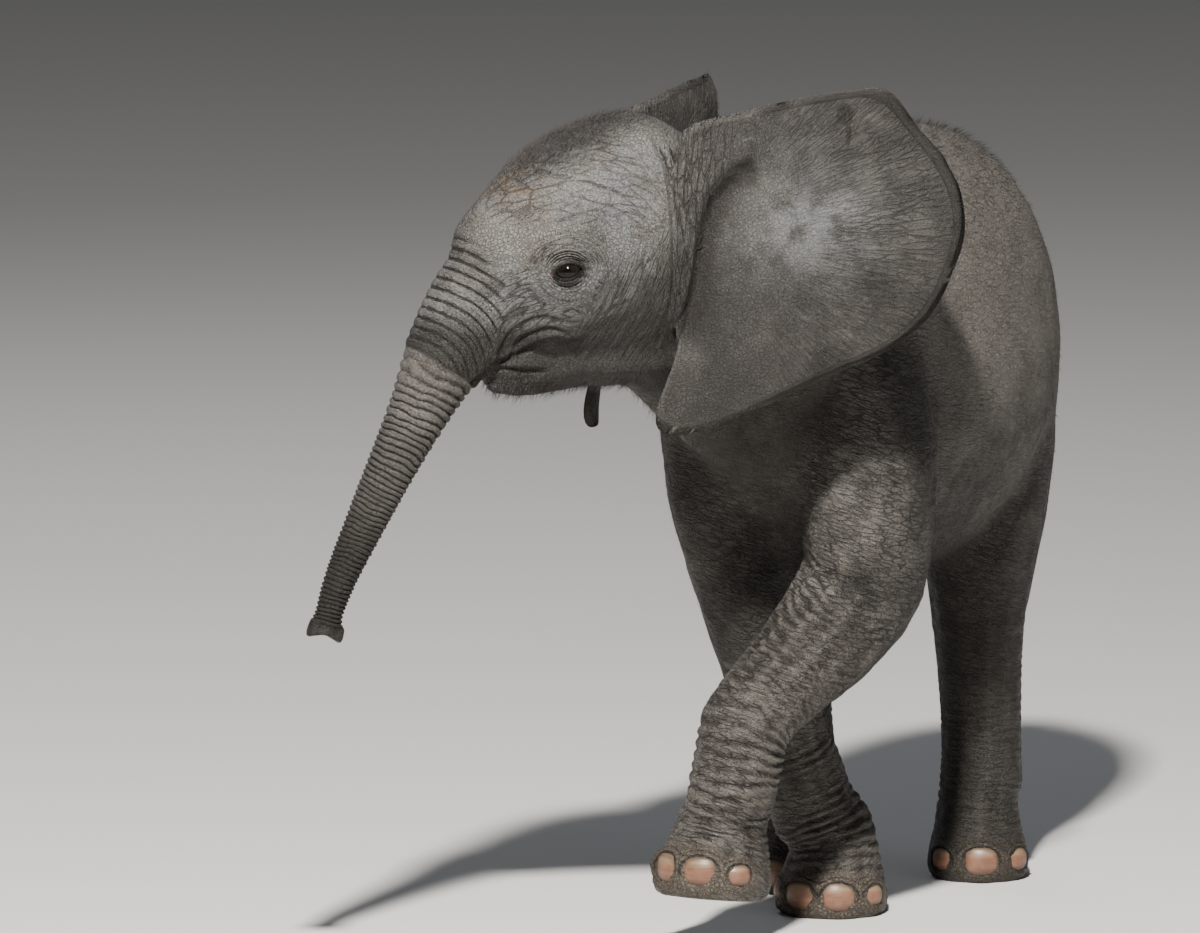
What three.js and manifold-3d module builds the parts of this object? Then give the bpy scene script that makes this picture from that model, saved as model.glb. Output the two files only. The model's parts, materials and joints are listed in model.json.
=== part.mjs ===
// A life-size African elephant calf, walking, its head turned to its right and its right ear held out.
// Millimetres, +Z up. The calf faces -Y, so its left side is +X. It is modelled about the point on the
// floor under its shoulders, and at the end it is moved so that the origin is under the middle of its box.
import * as THREE from 'three';
import { mergeVertices } from 'three/addons/utils/BufferGeometryUtils.js';
import Module from 'manifold-3d';

const wasm = await Module();
wasm.setup();

// ---- Driving dimensions -------------------------------------------------------------------------------
const BACK_HEIGHT = 957;
const BELLY_HEIGHT = 402;
const BARREL_HALF_WIDTH = 188;
const HIP_Y = 425; // how far the hips lie behind the shoulders
const FOREFOOT = { wide: 71, deep: 73 }; // half the width and length of the foot just above its sole
const HINDFOOT = { wide: 66, deep: 75 };
const FOOT_LIFT = 71; // how high the swinging left forefoot is held, at the middle of its sole
const TOES_UP = THREE.MathUtils.degToRad(9);
const HEAD_CENTRE = new THREE.Vector3(-123, -343, 864);
const HEAD_YAW = THREE.MathUtils.degToRad(48); // turned from -Y towards the right side
const EYE_RADIUS = 17;
const EAR_THICKNESS = 10;
const NAIL = { wide: 20, tall: 17, thick: 10, above: 26 }; // half sizes, and the middle above the sole
const CUT = 0.35; // the gap left where one piece meets the next
const SHORTEST_EDGE = 0.15;
const SMALLEST_DOME = 0.16; // the last ring of a rounded end, as a share of its section

const X = new THREE.Vector3(1, 0, 0);
const Z = new THREE.Vector3(0, 0, 1);

// ---- Solids -------------------------------------------------------------------------------------------

// A closed three.js geometry as a manifold-3d solid.
function solid(geometry) {
  const bare = geometry.index ? geometry.toNonIndexed() : geometry.clone();
  bare.deleteAttribute('normal');
  bare.deleteAttribute('uv');
  const merged = mergeVertices(bare, 1e-3);
  return new wasm.Manifold(new wasm.Mesh({
    numProp: 3,
    vertProperties: merged.attributes.position.array,
    triVerts: new Uint32Array(merged.index.array),
  }));
}

// A manifold-3d solid as a three.js geometry, without the slivers that cuts leave: the two ends of each
// edge shorter than SHORTEST_EDGE become one corner.
function geometryOf(shape) {
  const { numProp, vertProperties, triVerts } = shape.getMesh();
  const corner = (i) => new THREE.Vector3(...vertProperties.subarray(i * numProp, i * numProp + 3));
  const count = vertProperties.length / numProp;
  const points = new Float32Array(count * 3);
  const keptAs = [...Array(count).keys()];
  const kept = (i) => {
    while (keptAs[i] !== i) i = keptAs[i];
    return i;
  };
  for (let i = 0; i < count; i++) corner(i).toArray(points, i * 3);
  for (let t = 0; t < triVerts.length; t++) {
    const [a, b] = [triVerts[t], triVerts[t % 3 === 2 ? t - 2 : t + 1]];
    if (corner(a).distanceTo(corner(b)) < SHORTEST_EDGE && kept(a) !== kept(b)) keptAs[kept(b)] = kept(a);
  }
  const faces = [];
  for (let t = 0; t < triVerts.length; t += 3) {
    const face = [0, 1, 2].map((k) => kept(triVerts[t + k]));
    if (new Set(face).size === 3) faces.push(...face);
  }
  const geometry = new THREE.BufferGeometry();
  geometry.setAttribute('position', new THREE.BufferAttribute(points, 3));
  geometry.setIndex(faces);
  geometry.computeVertexNormals();
  return geometry;
}

const union = (...shapes) => shapes.reduce((all, next) => all.add(next));
const without = (shape, ...rest) => rest.reduce((left, next) => left.subtract(next), shape);
const largest = (shape) => shape.decompose().reduce((a, b) => (a.volume() > b.volume() ? a : b));

// A flesh form lofted through stations {at, wide, deep, taper}. wide is half its size along side, and deep
// half its size across that. A taper makes the section wider on its deep side. domes are the lengths of
// the rounded ends, 0 for a flat one. Each swell pushes the skin near a point outward or inward. grow makes
// the form fatter all round, to cut room for it in its neighbours.
function loft(stations, { side = X, around = 18, rings = 20, domes = [0, 0], power = 2, swells = [] }, grow = 0) {
  const domeRings = 3;
  const spine = new THREE.CatmullRomCurve3(stations.map((s) => new THREE.Vector3(...s.at)));
  const sizes = new THREE.CatmullRomCurve3(
    stations.map((s) => new THREE.Vector3(s.wide, s.deep, (s.taper ?? 0) * 100)), false, 'catmullrom', 0.5);
  const before = domes[0] ? domeRings : 0;
  const after = domes[1] ? domeRings : 0;
  const rows = before + rings + after;
  const geometry = new THREE.CylinderGeometry(1, 1, 1, around, rows);
  const places = geometry.attributes.position;
  const point = new THREE.Vector3();
  const round = (v) => Math.sign(v) * Math.abs(v) ** (2 / power);
  for (let i = 0; i < places.count; i++) {
    point.fromBufferAttribute(places, i);
    const row = Math.round((0.5 - point.y) * rows);
    const t = THREE.MathUtils.clamp((row - before) / rings, 0, 1);
    const past = row < before ? row - before : Math.max(0, row - before - rings);
    const lean = (Math.abs(past) / domeRings) * Math.acos(SMALLEST_DOME);
    const reach = past < 0 ? -(domes[0] + grow) : domes[1] + grow;
    const flatEnd = (t === 0 && !before) || (t === 1 && !after) ? Math.sign(t - 0.5) * grow : 0;
    const along = spine.getTangent(t);
    const across = side.clone().addScaledVector(along, -side.dot(along)).normalize();
    const deepward = along.clone().cross(across);
    const { x: wide, y: deep, z: taper } = sizes.getPoint(t);
    const radial = Math.hypot(point.x, point.z);
    const [c, s] = radial ? [point.x / radial, point.z / radial] : [0, 0];
    const shrink = Math.cos(lean) * radial;
    const place = spine.getPoint(t)
      .addScaledVector(along, past ? Math.sin(lean) * reach : flatEnd)
      .addScaledVector(across, round(c) * (wide + grow) * shrink * (1 + (taper / 100) * s))
      .addScaledVector(deepward, round(s) * (deep + grow) * shrink);
    for (const { at, reach: far, push } of swells) {
      place.addScaledVector(push, Math.exp(-place.distanceToSquared(at) / (far * far)));
    }
    places.setXYZ(i, place.x, place.y, place.z);
  }
  return solid(geometry);
}

// An ellipsoid with its axes along a frame's.
function ellipsoid(centre, radii, frame = new THREE.Matrix4(), detail = 8) {
  const geometry = new THREE.SphereGeometry(1, detail, Math.round(detail * 0.6));
  geometry.scale(...radii).applyMatrix4(frame.clone().setPosition(centre));
  return solid(geometry);
}

// A thin disc, to part a form across its axis.
function disc(at, axis, radius) {
  const geometry = new THREE.CylinderGeometry(radius, radius, CUT, 12);
  const turn = new THREE.Quaternion().setFromUnitVectors(new THREE.Vector3(0, 1, 0), axis.clone().normalize());
  return solid(geometry.applyQuaternion(turn).translate(at.x, at.y, at.z));
}

// A form parted by thin discs, as a list from its highest piece to its lowest.
function partedDownward(shape, ...discs) {
  const middle = (piece) => {
    const { min, max } = piece.boundingBox();
    return (min[2] + max[2]) / 2;
  };
  const pieces = without(shape, ...discs).decompose().filter((piece) => piece.volume() > 1000);
  return pieces.sort((a, b) => middle(b) - middle(a));
}

// ---- Torso, neck and tail -----------------------------------------------------------------------------

// [y, top of the back, underline, half-width, how far the spine bends to the left here]
const TORSO_SECTIONS = [
  [-128, 822, 524, 98, 0],
  [-80, 890, 470, 132, 0],
  [0, 936, 430, 157, 2],
  [100, BACK_HEIGHT - 7, 410, 175, 8],
  [225, BACK_HEIGHT, BELLY_HEIGHT, BARREL_HALF_WIDTH, 14],
  [345, BACK_HEIGHT, BELLY_HEIGHT + 4, 187, 18],
  [440, 940, 422, 176, 18],
  [515, 900, 466, 153, 16],
  [565, 842, 524, 118, 14],
];
const torsoForm = (grow = 0) => loft(
  TORSO_SECTIONS.map(([y, top, bottom, wide, bend]) => (
    { at: [bend, y, (top + bottom) / 2], wide, deep: (top - bottom) / 2, taper: 0.06 })),
  { around: 20, rings: 14, domes: [26, 34], power: 2.2 }, grow);

const neckForm = (grow = 0) => loft([
  { at: [4, 30, 702], wide: 128, deep: 186 },
  { at: [-2, -70, 718], wide: 122, deep: 172 },
  { at: [-20, -165, 752], wide: 106, deep: 154 },
  { at: [-54, -250, 800], wide: 96, deep: 138 },
  { at: [-92, -305, 834], wide: 90, deep: 126 },
], { side: new THREE.Vector3(0.93, -0.36, 0), around: 16, rings: 7, domes: [20, 20] }, grow);

const TAIL_Y = 600;
const tailForm = (grow = 0) => loft([
  { at: [14, TAIL_Y - 44, 842], wide: 34, deep: 30 },
  { at: [14, TAIL_Y + 8, 796], wide: 23, deep: 21 },
  { at: [13, TAIL_Y + 34, 709], wide: 15, deep: 14 },
  { at: [10, TAIL_Y + 42, 584], wide: 11, deep: 10 },
  { at: [6, TAIL_Y + 36, 462], wide: 8, deep: 8 },
  { at: [4, TAIL_Y + 28, 404], wide: 7, deep: 7 },
], { around: 8, rings: 9, domes: [10, 5] }, grow);

// The tuft of stiff hairs at the tail's end, flat from side to side.
const tailTuft = (grow = 0) => loft([
  { at: [4, TAIL_Y + 30, 424], wide: 10, deep: 11 },
  { at: [3, TAIL_Y + 27, 374], wide: 9, deep: 17 },
  { at: [3, TAIL_Y + 22, 322], wide: 7, deep: 15 },
  { at: [2, TAIL_Y + 16, 276], wide: 3.5, deep: 5 },
], { around: 8, rings: 5, domes: [4, 4] }, grow);

// ---- Legs ---------------------------------------------------------------------------------------------

const SWING = new THREE.Vector3(0.9, -0.43, 0).normalize(); // the lifted foreleg swings in across the body
const heading = (degrees) => {
  const turn = THREE.MathUtils.degToRad(degrees);
  return new THREE.Vector3(Math.sin(turn), -Math.cos(turn), 0);
};

// A foot's sole: where its middle is, which way its toes point, and how far they are tipped up.
const SOLES = {
  foreleg_left: { at: [-27, -228, FOOT_LIFT], toes: heading(-17), pitch: TOES_UP, size: FOREFOOT },
  foreleg_right: { at: [12, 108, 0], toes: heading(4), pitch: 0, size: FOREFOOT },
  hindleg_left: { at: [94, HIP_Y + 4, 0], toes: heading(22), pitch: 0, size: HINDFOOT },
  hindleg_right: { at: [-82, 262, 0], toes: heading(-12), pitch: 0, size: HINDFOOT },
};

// The way a sole faces, and the foot above it from the ankle down.
const soleAxis = ({ toes, pitch }) => (
  Z.clone().multiplyScalar(-Math.cos(pitch)).addScaledVector(toes, Math.sin(pitch)));
function footStations(sole, ankle) {
  const up = soleAxis(sole).negate();
  const { wide, deep } = sole.size;
  const row = (height, w, d, back = 0) => ({
    at: new THREE.Vector3(...sole.at).addScaledVector(up, height).addScaledVector(sole.toes, -back).toArray(),
    wide: w, deep: d });
  return [
    ankle,
    row(88, wide * 0.79, deep * 0.8, 8),
    row(48, wide * 0.9, deep * 0.92, 3),
    row(18, wide, deep),
    row(-3, wide - 7, deep - 7),
  ];
}

const legs = {
  foreleg_right: {
    upper: [
      { at: [-80, -12, 696], wide: 74, deep: 98 },
      { at: [-84, -22, 594], wide: 78, deep: 106 },
      { at: [-75, -14, 498], wide: 69, deep: 94 },
      { at: [-63, 2, 412], wide: 60, deep: 80 },
      { at: [-54, 24, 338], wide: 55, deep: 63 },
    ],
    lower: [
      { at: [-62, 6, 400], wide: 58, deep: 70 },
      { at: [-51, 32, 326], wide: 55, deep: 61 },
      { at: [-38, 60, 242], wide: 52, deep: 55 },
      { at: [-22, 84, 175], wide: 54, deep: 56 },
      { at: [-6, 100, 110], wide: 53, deep: 55 },
    ],
    ankle: { at: [-12, 96, 135], wide: 53, deep: 54 },
    knee: [[-60, 22, 350], [0.2, 0.34, -1]],
    domes: [[40, 30], [20, 20]],
  },
  foreleg_left: {
    side: SWING,
    upper: [
      { at: [82, -4, 703], wide: 74, deep: 98 },
      { at: [100, -30, 613], wide: 84, deep: 112 },
      { at: [104, -34, 523], wide: 80, deep: 112 },
      { at: [102, -22, 444], wide: 72, deep: 94 },
    ],
    lower: [
      { at: [104, -20, 457], wide: 68, deep: 86 },
      { at: [88, -62, 405], wide: 66, deep: 80 },
      { at: [56, -122, 351], wide: 60, deep: 66 },
      { at: [22, -176, 306], wide: 57, deep: 56 },
      { at: [0, -206, 265], wide: 56, deep: 56 },
    ],
    ankle: { at: [-14, -214, 165], wide: 54, deep: 56 },
    wrist: { at: [4, -202, 272], wide: 55, deep: 55 },
    knee: [[98, -40, 437], [-0.42, -0.52, -0.74]],
    domes: [[40, 52], [30, 26]],
  },
  hindleg_left: {
    upper: [
      { at: [82, HIP_Y + 5, 700], wide: 84, deep: 118 },
      { at: [98, HIP_Y + 2, 610], wide: 88, deep: 130 },
      { at: [103, HIP_Y - 4, 508], wide: 82, deep: 118 },
      { at: [102, HIP_Y - 14, 414], wide: 71, deep: 92 },
      { at: [100, HIP_Y - 14, 344], wide: 61, deep: 69 },
    ],
    lower: [
      { at: [101, HIP_Y - 16, 404], wide: 65, deep: 78 },
      { at: [99, HIP_Y - 12, 322], wide: 58, deep: 65 },
      { at: [97, HIP_Y + 2, 242], wide: 53, deep: 57 },
      { at: [95, HIP_Y + 14, 165], wide: 51, deep: 57 },
      { at: [94, HIP_Y + 16, 110], wide: 53, deep: 60 },
    ],
    ankle: { at: [94, HIP_Y + 16, 132], wide: 51, deep: 57 },
    knee: [[101, HIP_Y - 15, 366], [0, 0, -1]],
    domes: [[40, 24], [20, 20]],
  },
  hindleg_right: {
    upper: [
      { at: [-52, HIP_Y - 5, 704], wide: 84, deep: 118 },
      { at: [-72, HIP_Y - 28, 614], wide: 88, deep: 128 },
      { at: [-88, HIP_Y - 72, 510], wide: 80, deep: 112 },
      { at: [-97, HIP_Y - 122, 416], wide: 67, deep: 86 },
      { at: [-101, HIP_Y - 140, 350], wide: 59, deep: 68 },
    ],
    lower: [
      { at: [-97, HIP_Y - 126, 404], wide: 63, deep: 74 },
      { at: [-102, HIP_Y - 144, 322], wide: 56, deep: 64 },
      { at: [-102, HIP_Y - 147, 242], wide: 51, deep: 57 },
      { at: [-95, HIP_Y - 148, 165], wide: 50, deep: 57 },
      { at: [-86, HIP_Y - 154, 110], wide: 53, deep: 60 },
    ],
    ankle: { at: [-89, HIP_Y - 152, 132], wide: 50, deep: 57 },
    knee: [[-99, HIP_Y - 134, 366], [-0.06, -0.26, -1]],
    domes: [[40, 24], [20, 20]],
  },
};

// A leg as one form: an upper, a lower and a foot that run into each other, cut off flat at the floor.
function legForm(name) {
  const leg = legs[name];
  const sole = SOLES[name];
  const across = sole.toes.clone().cross(Z);
  const options = { around: 12, rings: 5, power: 2.12 };
  const ankle = leg.wrist ? [leg.wrist, leg.ankle] : [leg.ankle];
  const foot = [...ankle.slice(0, -1), ...footStations(sole, ankle.at(-1))];
  const limb = union(
    loft(leg.upper, { ...options, side: X, domes: leg.domes[0] }),
    loft(leg.lower, { ...options, side: leg.side ?? X, domes: leg.domes[1] }),
    loft(foot, { ...options, rings: leg.wrist ? 8 : 5, side: across, domes: [12, 0] }));
  return limb.subtract(solid(new THREE.BoxGeometry(2000, 2000, 40).translate(0, 0, -20)));
}

// One nail on a foot: a domed plate sunk in its front, at an angle round from where the toes point.
function nail(name, angle, scale, grow = 0) {
  const { at, toes, size } = SOLES[name];
  const up = soleAxis(SOLES[name]).negate();
  const out = toes.clone().applyAxisAngle(up, THREE.MathUtils.degToRad(angle));
  out.addScaledVector(up, -out.dot(up)).normalize();
  const across = up.clone().cross(out);
  const radius = Math.hypot(size.wide * Math.sin((angle * Math.PI) / 180), size.deep * Math.cos((angle * Math.PI) / 180));
  const middle = new THREE.Vector3(...at).addScaledVector(up, NAIL.above).addScaledVector(out, radius - 6.5);
  return ellipsoid(middle, [NAIL.wide * scale + grow, NAIL.thick + grow, NAIL.tall * scale + grow],
    new THREE.Matrix4().makeBasis(across.negate(), out, up));
}

// Four nails on a forefoot and three on a hind foot, the outermost the smallest.
const nailsOf = (name) => (name.startsWith('fore')
  ? [[-60, 0.8], [-21, 1], [21, 1], [62, 0.76]] : [[-44, 0.82], [0, 1], [44, 0.82]]);

// ---- Head ---------------------------------------------------------------------------------------------

// The head's own frame: first axis left, second backward, third up.
const FORWARD = new THREE.Vector3(-Math.sin(HEAD_YAW), -Math.cos(HEAD_YAW), 0);
const LEFT = Z.clone().cross(FORWARD);
const HEAD_FRAME = new THREE.Matrix4().makeBasis(LEFT, FORWARD.clone().negate(), Z);

// A point of the head, from how far it lies left, forward and up of the head's centre.
const inHead = (left, forward, up) => HEAD_CENTRE.clone()
  .addScaledVector(LEFT, left).addScaledVector(FORWARD, forward).addScaledVector(Z, up);
const headStation = (forward, top, bottom, wide, taper = 0) => (
  { at: inHead(0, forward, (top + bottom) / 2).toArray(), wide, deep: (top - bottom) / 2, taper });

// A pair of swells, one on each side of the head. outward is how far each pushes the cheek out.
const onBothSides = (left, forward, up, reach, outward, upward = 0) => [1, -1].map((side) => ({
  at: inHead(side * left, forward, up), reach,
  push: LEFT.clone().multiplyScalar(side * outward).addScaledVector(Z, upward) }));

const FACE = [
  ...onBothSides(100, 78, 10, 36, 17, 3), // brow
  ...onBothSides(98, 88, -48, 30, 9), // below the eye
  ...onBothSides(104, 24, 40, 40, -9), // temple
  ...onBothSides(112, -30, -72, 60, 9), // muscle at the angle of the jaw
  ...onBothSides(70, 142, -92, 40, 10), // root of the trunk
  ...onBothSides(45, -30, 168, 46, 3, 6), // the two domes of the crown
];

const skullForm = (grow = 0) => loft([
  headStation(-112, 130, -118, 84),
  headStation(-60, 158, -150, 110, 0.08),
  headStation(0, 154, -154, 117, 0.14),
  headStation(50, 131, -150, 113, 0.14),
  headStation(98, 94, -142, 94, 0.1),
  headStation(134, 62, -134, 68, 0.04),
  headStation(158, 34, -128, 46),
], { side: LEFT, around: 22, rings: 12, domes: [30, 18], swells: FACE, power: 2.05 }, grow);

const jawForm = (grow = 0) => loft([
  headStation(-72, -66, -160, 78),
  headStation(-22, -78, -166, 75),
  headStation(30, -90, -164, 60),
  headStation(75, -108, -170, 44),
  headStation(112, -124, -173, 30),
  headStation(140, -138, -168, 17),
], { side: LEFT, around: 12, rings: 7, domes: [20, 14] }, grow);

// ---- Trunk --------------------------------------------------------------------------------------------

const trunkStation = (forward, up, wide, deep) => ({ at: inHead(0, forward, up).toArray(), wide, deep });
const TRUNK = [
  trunkStation(108, 14, 56, 60),
  trunkStation(163, -60, 58, 64),
  trunkStation(207, -124, 50, 52),
  trunkStation(236, -178, 41, 40),
  trunkStation(267, -236, 34, 33),
  trunkStation(294, -288, 29.5, 28.5),
  trunkStation(316, -332, 26, 25),
  trunkStation(333, -366, 23, 22.5),
  trunkStation(347, -400, 20.5, 20),
  trunkStation(355, -426, 18.5, 18.5),
  trunkStation(357, -441, 18, 20),
];
const TRUNK_JOINTS = [[240, -186], [322, -342]];

function trunkForm(grow = 0) {
  const fingers = grow ? [] : [
    ellipsoid(inHead(0, 373, -435), [12, 8.5, 13], HEAD_FRAME, 8),
    ellipsoid(inHead(0, 341, -443), [14, 7.5, 12], HEAD_FRAME, 8),
  ];
  return union(loft(TRUNK, { side: LEFT, around: 12, rings: 20, domes: [22, 3] }, grow), ...fingers);
}

// The two nostrils open in the hollow of the trunk's tip.
const nostril = (side) => loft([
  trunkStation(360, -466, 5.2, 5),
  trunkStation(356, -441, 4.5, 4.5),
  trunkStation(349, -419, 3, 3),
].map(({ at, ...size }) => (
  { at: new THREE.Vector3(...at).addScaledVector(LEFT, side * 7).toArray(), ...size })),
{ side: LEFT, around: 6, rings: 2 });

// ---- Ears ---------------------------------------------------------------------------------------------

// The ear's outline, as how far back from its root and how far up from the head's centre each point lies.
const EAR_OUTLINE = {
  rootTop: [-22, 148], topFront: [40, 166], topMiddle: [115, 182], topBack: [196, 194], corner: [238, 196],
  backTop: [272, 156], backHigh: [312, 108], backEdge: [336, 46], backLow: [326, -14], lowerBack: [298, -68],
  lowerCorner: [246, -114], underBack: [178, -142], under: [104, -174], underFront: [36, -204],
  lobe: [-28, -219], lobeTip: [-52, -204], lobeFront: [-40, -164], lobeTop: [-20, -112],
  rootBottom: [-30, -50], rootMiddle: [-34, 40], rootHigh: [-32, 110],
};
const EAR_MIDDLE = [100, 10];
const EAR_ROOT_BACK = 74; // how far behind the head's centre the root line lies
const EAR_ROOT_OUT = 97;

// How an ear is held: its angle out from straight back at its top and bottom, how much its rear edge turns
// out further, how its top edge rolls over, how far ahead of its root the lobe starts to turn out, and how far
// the lobe hangs down and swings forward.
const earPose = {
  left: { side: 1, spreadTop: 6, spreadBottom: 10, furl: 0, roll: 14, hinge: 0, droop: 0, sweep: 0 },
  right: { side: -1, spreadTop: 41, spreadBottom: 68, furl: 52, roll: 30, hinge: 46, droop: 12, sweep: 26 },
};

// The place of a point of an ear's sheet, off it by a distance outward.
function onEar({ side, spreadTop, spreadBottom, furl, roll, hinge, droop, sweep }, back, up, off) {
  const share = THREE.MathUtils.smoothstep(up, -150, 150);
  const spread = THREE.MathUtils.degToRad(THREE.MathUtils.lerp(spreadBottom, spreadTop, share));
  const turnedBack = THREE.MathUtils.degToRad(furl) * share;
  const start = -hinge * THREE.MathUtils.smoothstep(-up, 40, 130);
  const steps = 12;
  const length = Math.max(back - start, 0);
  const low = THREE.MathUtils.smoothstep(-up, 90, 200);
  let rear = Math.min(back, start) - sweep * low;
  let out = 0;
  let angle = 0;
  for (let i = 0; i < steps; i++) {
    const way = (length * (i + 0.5)) / steps;
    angle = spread * THREE.MathUtils.smoothstep(way, -20, 60) + 0.34 * Math.exp(-((way / 38) ** 2))
      + turnedBack * THREE.MathUtils.smoothstep(way, 190, 270);
    rear += (Math.cos(angle) * length) / steps;
    out += (Math.sin(angle) * length) / steps;
  }
  const curl = Math.max(0, (up - 150) / 46) ** 2 * THREE.MathUtils.smoothstep(back, 10, 160);
  const cup = -10 * Math.sin((Math.PI * (up + 40)) / 330) * THREE.MathUtils.smoothstep(back, 0, 120);
  const wave = 5 * Math.sin(up / 34) * THREE.MathUtils.smoothstep(back, 180, 330);
  const tipIn = 14 * THREE.MathUtils.smoothstep(-up, 110, 220);
  const away = off + cup + wave - tipIn + roll * 0.5 * curl;
  return inHead(
    side * (EAR_ROOT_OUT + out + Math.cos(angle) * away),
    -(EAR_ROOT_BACK + rear - Math.sin(angle) * away),
    up - 0.12 * roll * curl - droop * (low + THREE.MathUtils.smoothstep(back, 0, 240)));
}

// The ear as a closed sheet. A flattened sphere gives it two faces that meet at its rim.
function earForm(pose) {
  const outline = new THREE.CatmullRomCurve3(
    Object.values(EAR_OUTLINE).map(([back, up]) => new THREE.Vector3(back, up, 0)), true);
  const geometry = new THREE.SphereGeometry(1, 36, 8);
  const places = geometry.attributes.position;
  const point = new THREE.Vector3();
  for (let i = 0; i < places.count; i++) {
    point.fromBufferAttribute(places, i);
    const share = Math.min(1, Math.acos(Math.min(1, Math.abs(point.y))) / (Math.PI / 2));
    const turn = THREE.MathUtils.euclideanModulo(Math.atan2(point.z, point.x) / (2 * Math.PI), 1);
    const rim = outline.getPointAt(turn);
    const back = THREE.MathUtils.lerp(EAR_MIDDLE[0], rim.x, share);
    const up = THREE.MathUtils.lerp(EAR_MIDDLE[1], rim.y, share);
    const atRoot = 10 * Math.exp(-(((back + 20) / 45) ** 2));
    const half = ((EAR_THICKNESS + atRoot) / 2) * Math.sqrt(Math.max(0, 1 - share ** 6));
    const place = onEar(pose, back, up, share < 0.999 ? Math.sign(point.y) * half : 0);
    places.setXYZ(i, place.x, place.y, place.z);
  }
  return solid(pose.side > 0 ? geometry : turnedOut(geometry));
}

// The same surface with its faces turned round.
function turnedOut(geometry) {
  const loose = geometry.toNonIndexed();
  const p = loose.attributes.position.array;
  for (let i = 0; i < p.length; i += 9) {
    for (let k = 0; k < 3; k++) [p[i + 3 + k], p[i + 6 + k]] = [p[i + 6 + k], p[i + 3 + k]];
  }
  return loose;
}

const eyeForm = (side, grow = 0) => {
  const r = EYE_RADIUS + grow;
  return ellipsoid(inHead(side * 96, 86, -12), [r, r, r], HEAD_FRAME, 14);
};

// ---- Putting it together ------------------------------------------------------------------------------

const calf = new THREE.Group();
calf.name = 'elephant_calf';

const hide = new THREE.MeshStandardMaterial({ name: 'hide', color: 0x6b655e, roughness: 0.85, metalness: 0 });
const eyeball = new THREE.MeshStandardMaterial({ name: 'eyeball', color: 0x1c120c, roughness: 0.1, metalness: 0 });
const horn = new THREE.MeshStandardMaterial({ name: 'nail', color: 0xa08a74, roughness: 0.5, metalness: 0 });
const hair = new THREE.MeshStandardMaterial({ name: 'tail_hair', color: 0x241f1c, roughness: 0.7, metalness: 0 });

function show(name, shape, material = hide) {
  const mesh = new THREE.Mesh(geometryOf(largest(shape)), material);
  mesh.name = name;
  calf.add(mesh);
}

// Each piece is cut back from the ones before it by their forms grown by the width of the cut.
const torso = torsoForm();
const torsoRoom = torsoForm(CUT);
const skullRoom = skullForm(CUT);
const neckRoom = neckForm(CUT);
show('torso', torso);
show('neck', without(neckForm(), torsoRoom, skullRoom));
show('head', without(skullForm(), eyeForm(1, CUT), eyeForm(-1, CUT)));
show('lower_jaw', without(jawForm(), skullRoom, neckRoom, trunkForm(CUT)));
for (const [name, side] of [['eye_left', 1], ['eye_right', -1]]) show(name, eyeForm(side), eyeball);

const trunk = without(trunkForm(), skullRoom, nostril(1), nostril(-1));
const trunkCuts = TRUNK_JOINTS.map(([forward, up]) => (
  disc(inHead(0, forward, up), inHead(0, 0.42, -0.9).sub(HEAD_CENTRE), 70)));
const [trunkUpper, trunkMiddle, trunkTip] = partedDownward(trunk, ...trunkCuts);
show('trunk_upper', trunkUpper);
show('trunk_middle', trunkMiddle);
show('trunk_tip', trunkTip);

for (const side of ['left', 'right']) show(`ear_${side}`, without(earForm(earPose[side]), skullRoom, neckRoom, torsoRoom));

for (const [name, leg] of Object.entries(legs)) {
  const [kneeAt, kneeAxis] = leg.knee;
  const ankleAt = new THREE.Vector3(...leg.ankle.at);
  const whole = without(legForm(name), torsoRoom, neckRoom);
  const [upper, lower, foot] = partedDownward(whole,
    disc(new THREE.Vector3(...kneeAt), new THREE.Vector3(...kneeAxis), 220),
    disc(ankleAt, soleAxis(SOLES[name]), 130));
  const [limb, side] = name.split('leg_');
  show(`${limb}leg_upper_${side}`, upper);
  show(`${limb}leg_lower_${side}`, lower);
  const nails = nailsOf(name);
  show(`${limb}foot_${side}`, without(foot, ...nails.map(([angle, scale]) => nail(name, angle, scale, CUT))));
  nails.forEach(([angle, scale], i) => show(`nail_${limb}_${side}_${i + 1}`, nail(name, angle, scale), horn));
}

show('tail', without(tailForm(), torsoRoom));
show('tail_tuft', without(tailTuft(), tailForm(CUT)), hair);

// The origin is on the floor under the middle of the calf's box.
const box = new THREE.Box3().setFromObject(calf);
const middle = box.getCenter(new THREE.Vector3());
calf.position.set(-middle.x, -middle.y, -box.min.z);

export default calf;
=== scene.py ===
# %% [markdown]
# # The looks of an elephant calf
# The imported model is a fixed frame: solids that give the calf its outline, cut apart at the neck, knees and
# ears. A real calf has one skin from the trunk's tip to the tail, so this lesson makes that skin over the
# frame, opens the eyes in it, folds it, and then adds eyes, nails and hair. Everything is in metres.

# %% Load the frame and the tools
import json
import math

import bmesh
import bpy
import numpy as np
from mathutils import Matrix, Vector, noise
from mathutils.bvhtree import BVHTree
from mathutils.geometry import barycentric_transform

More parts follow.
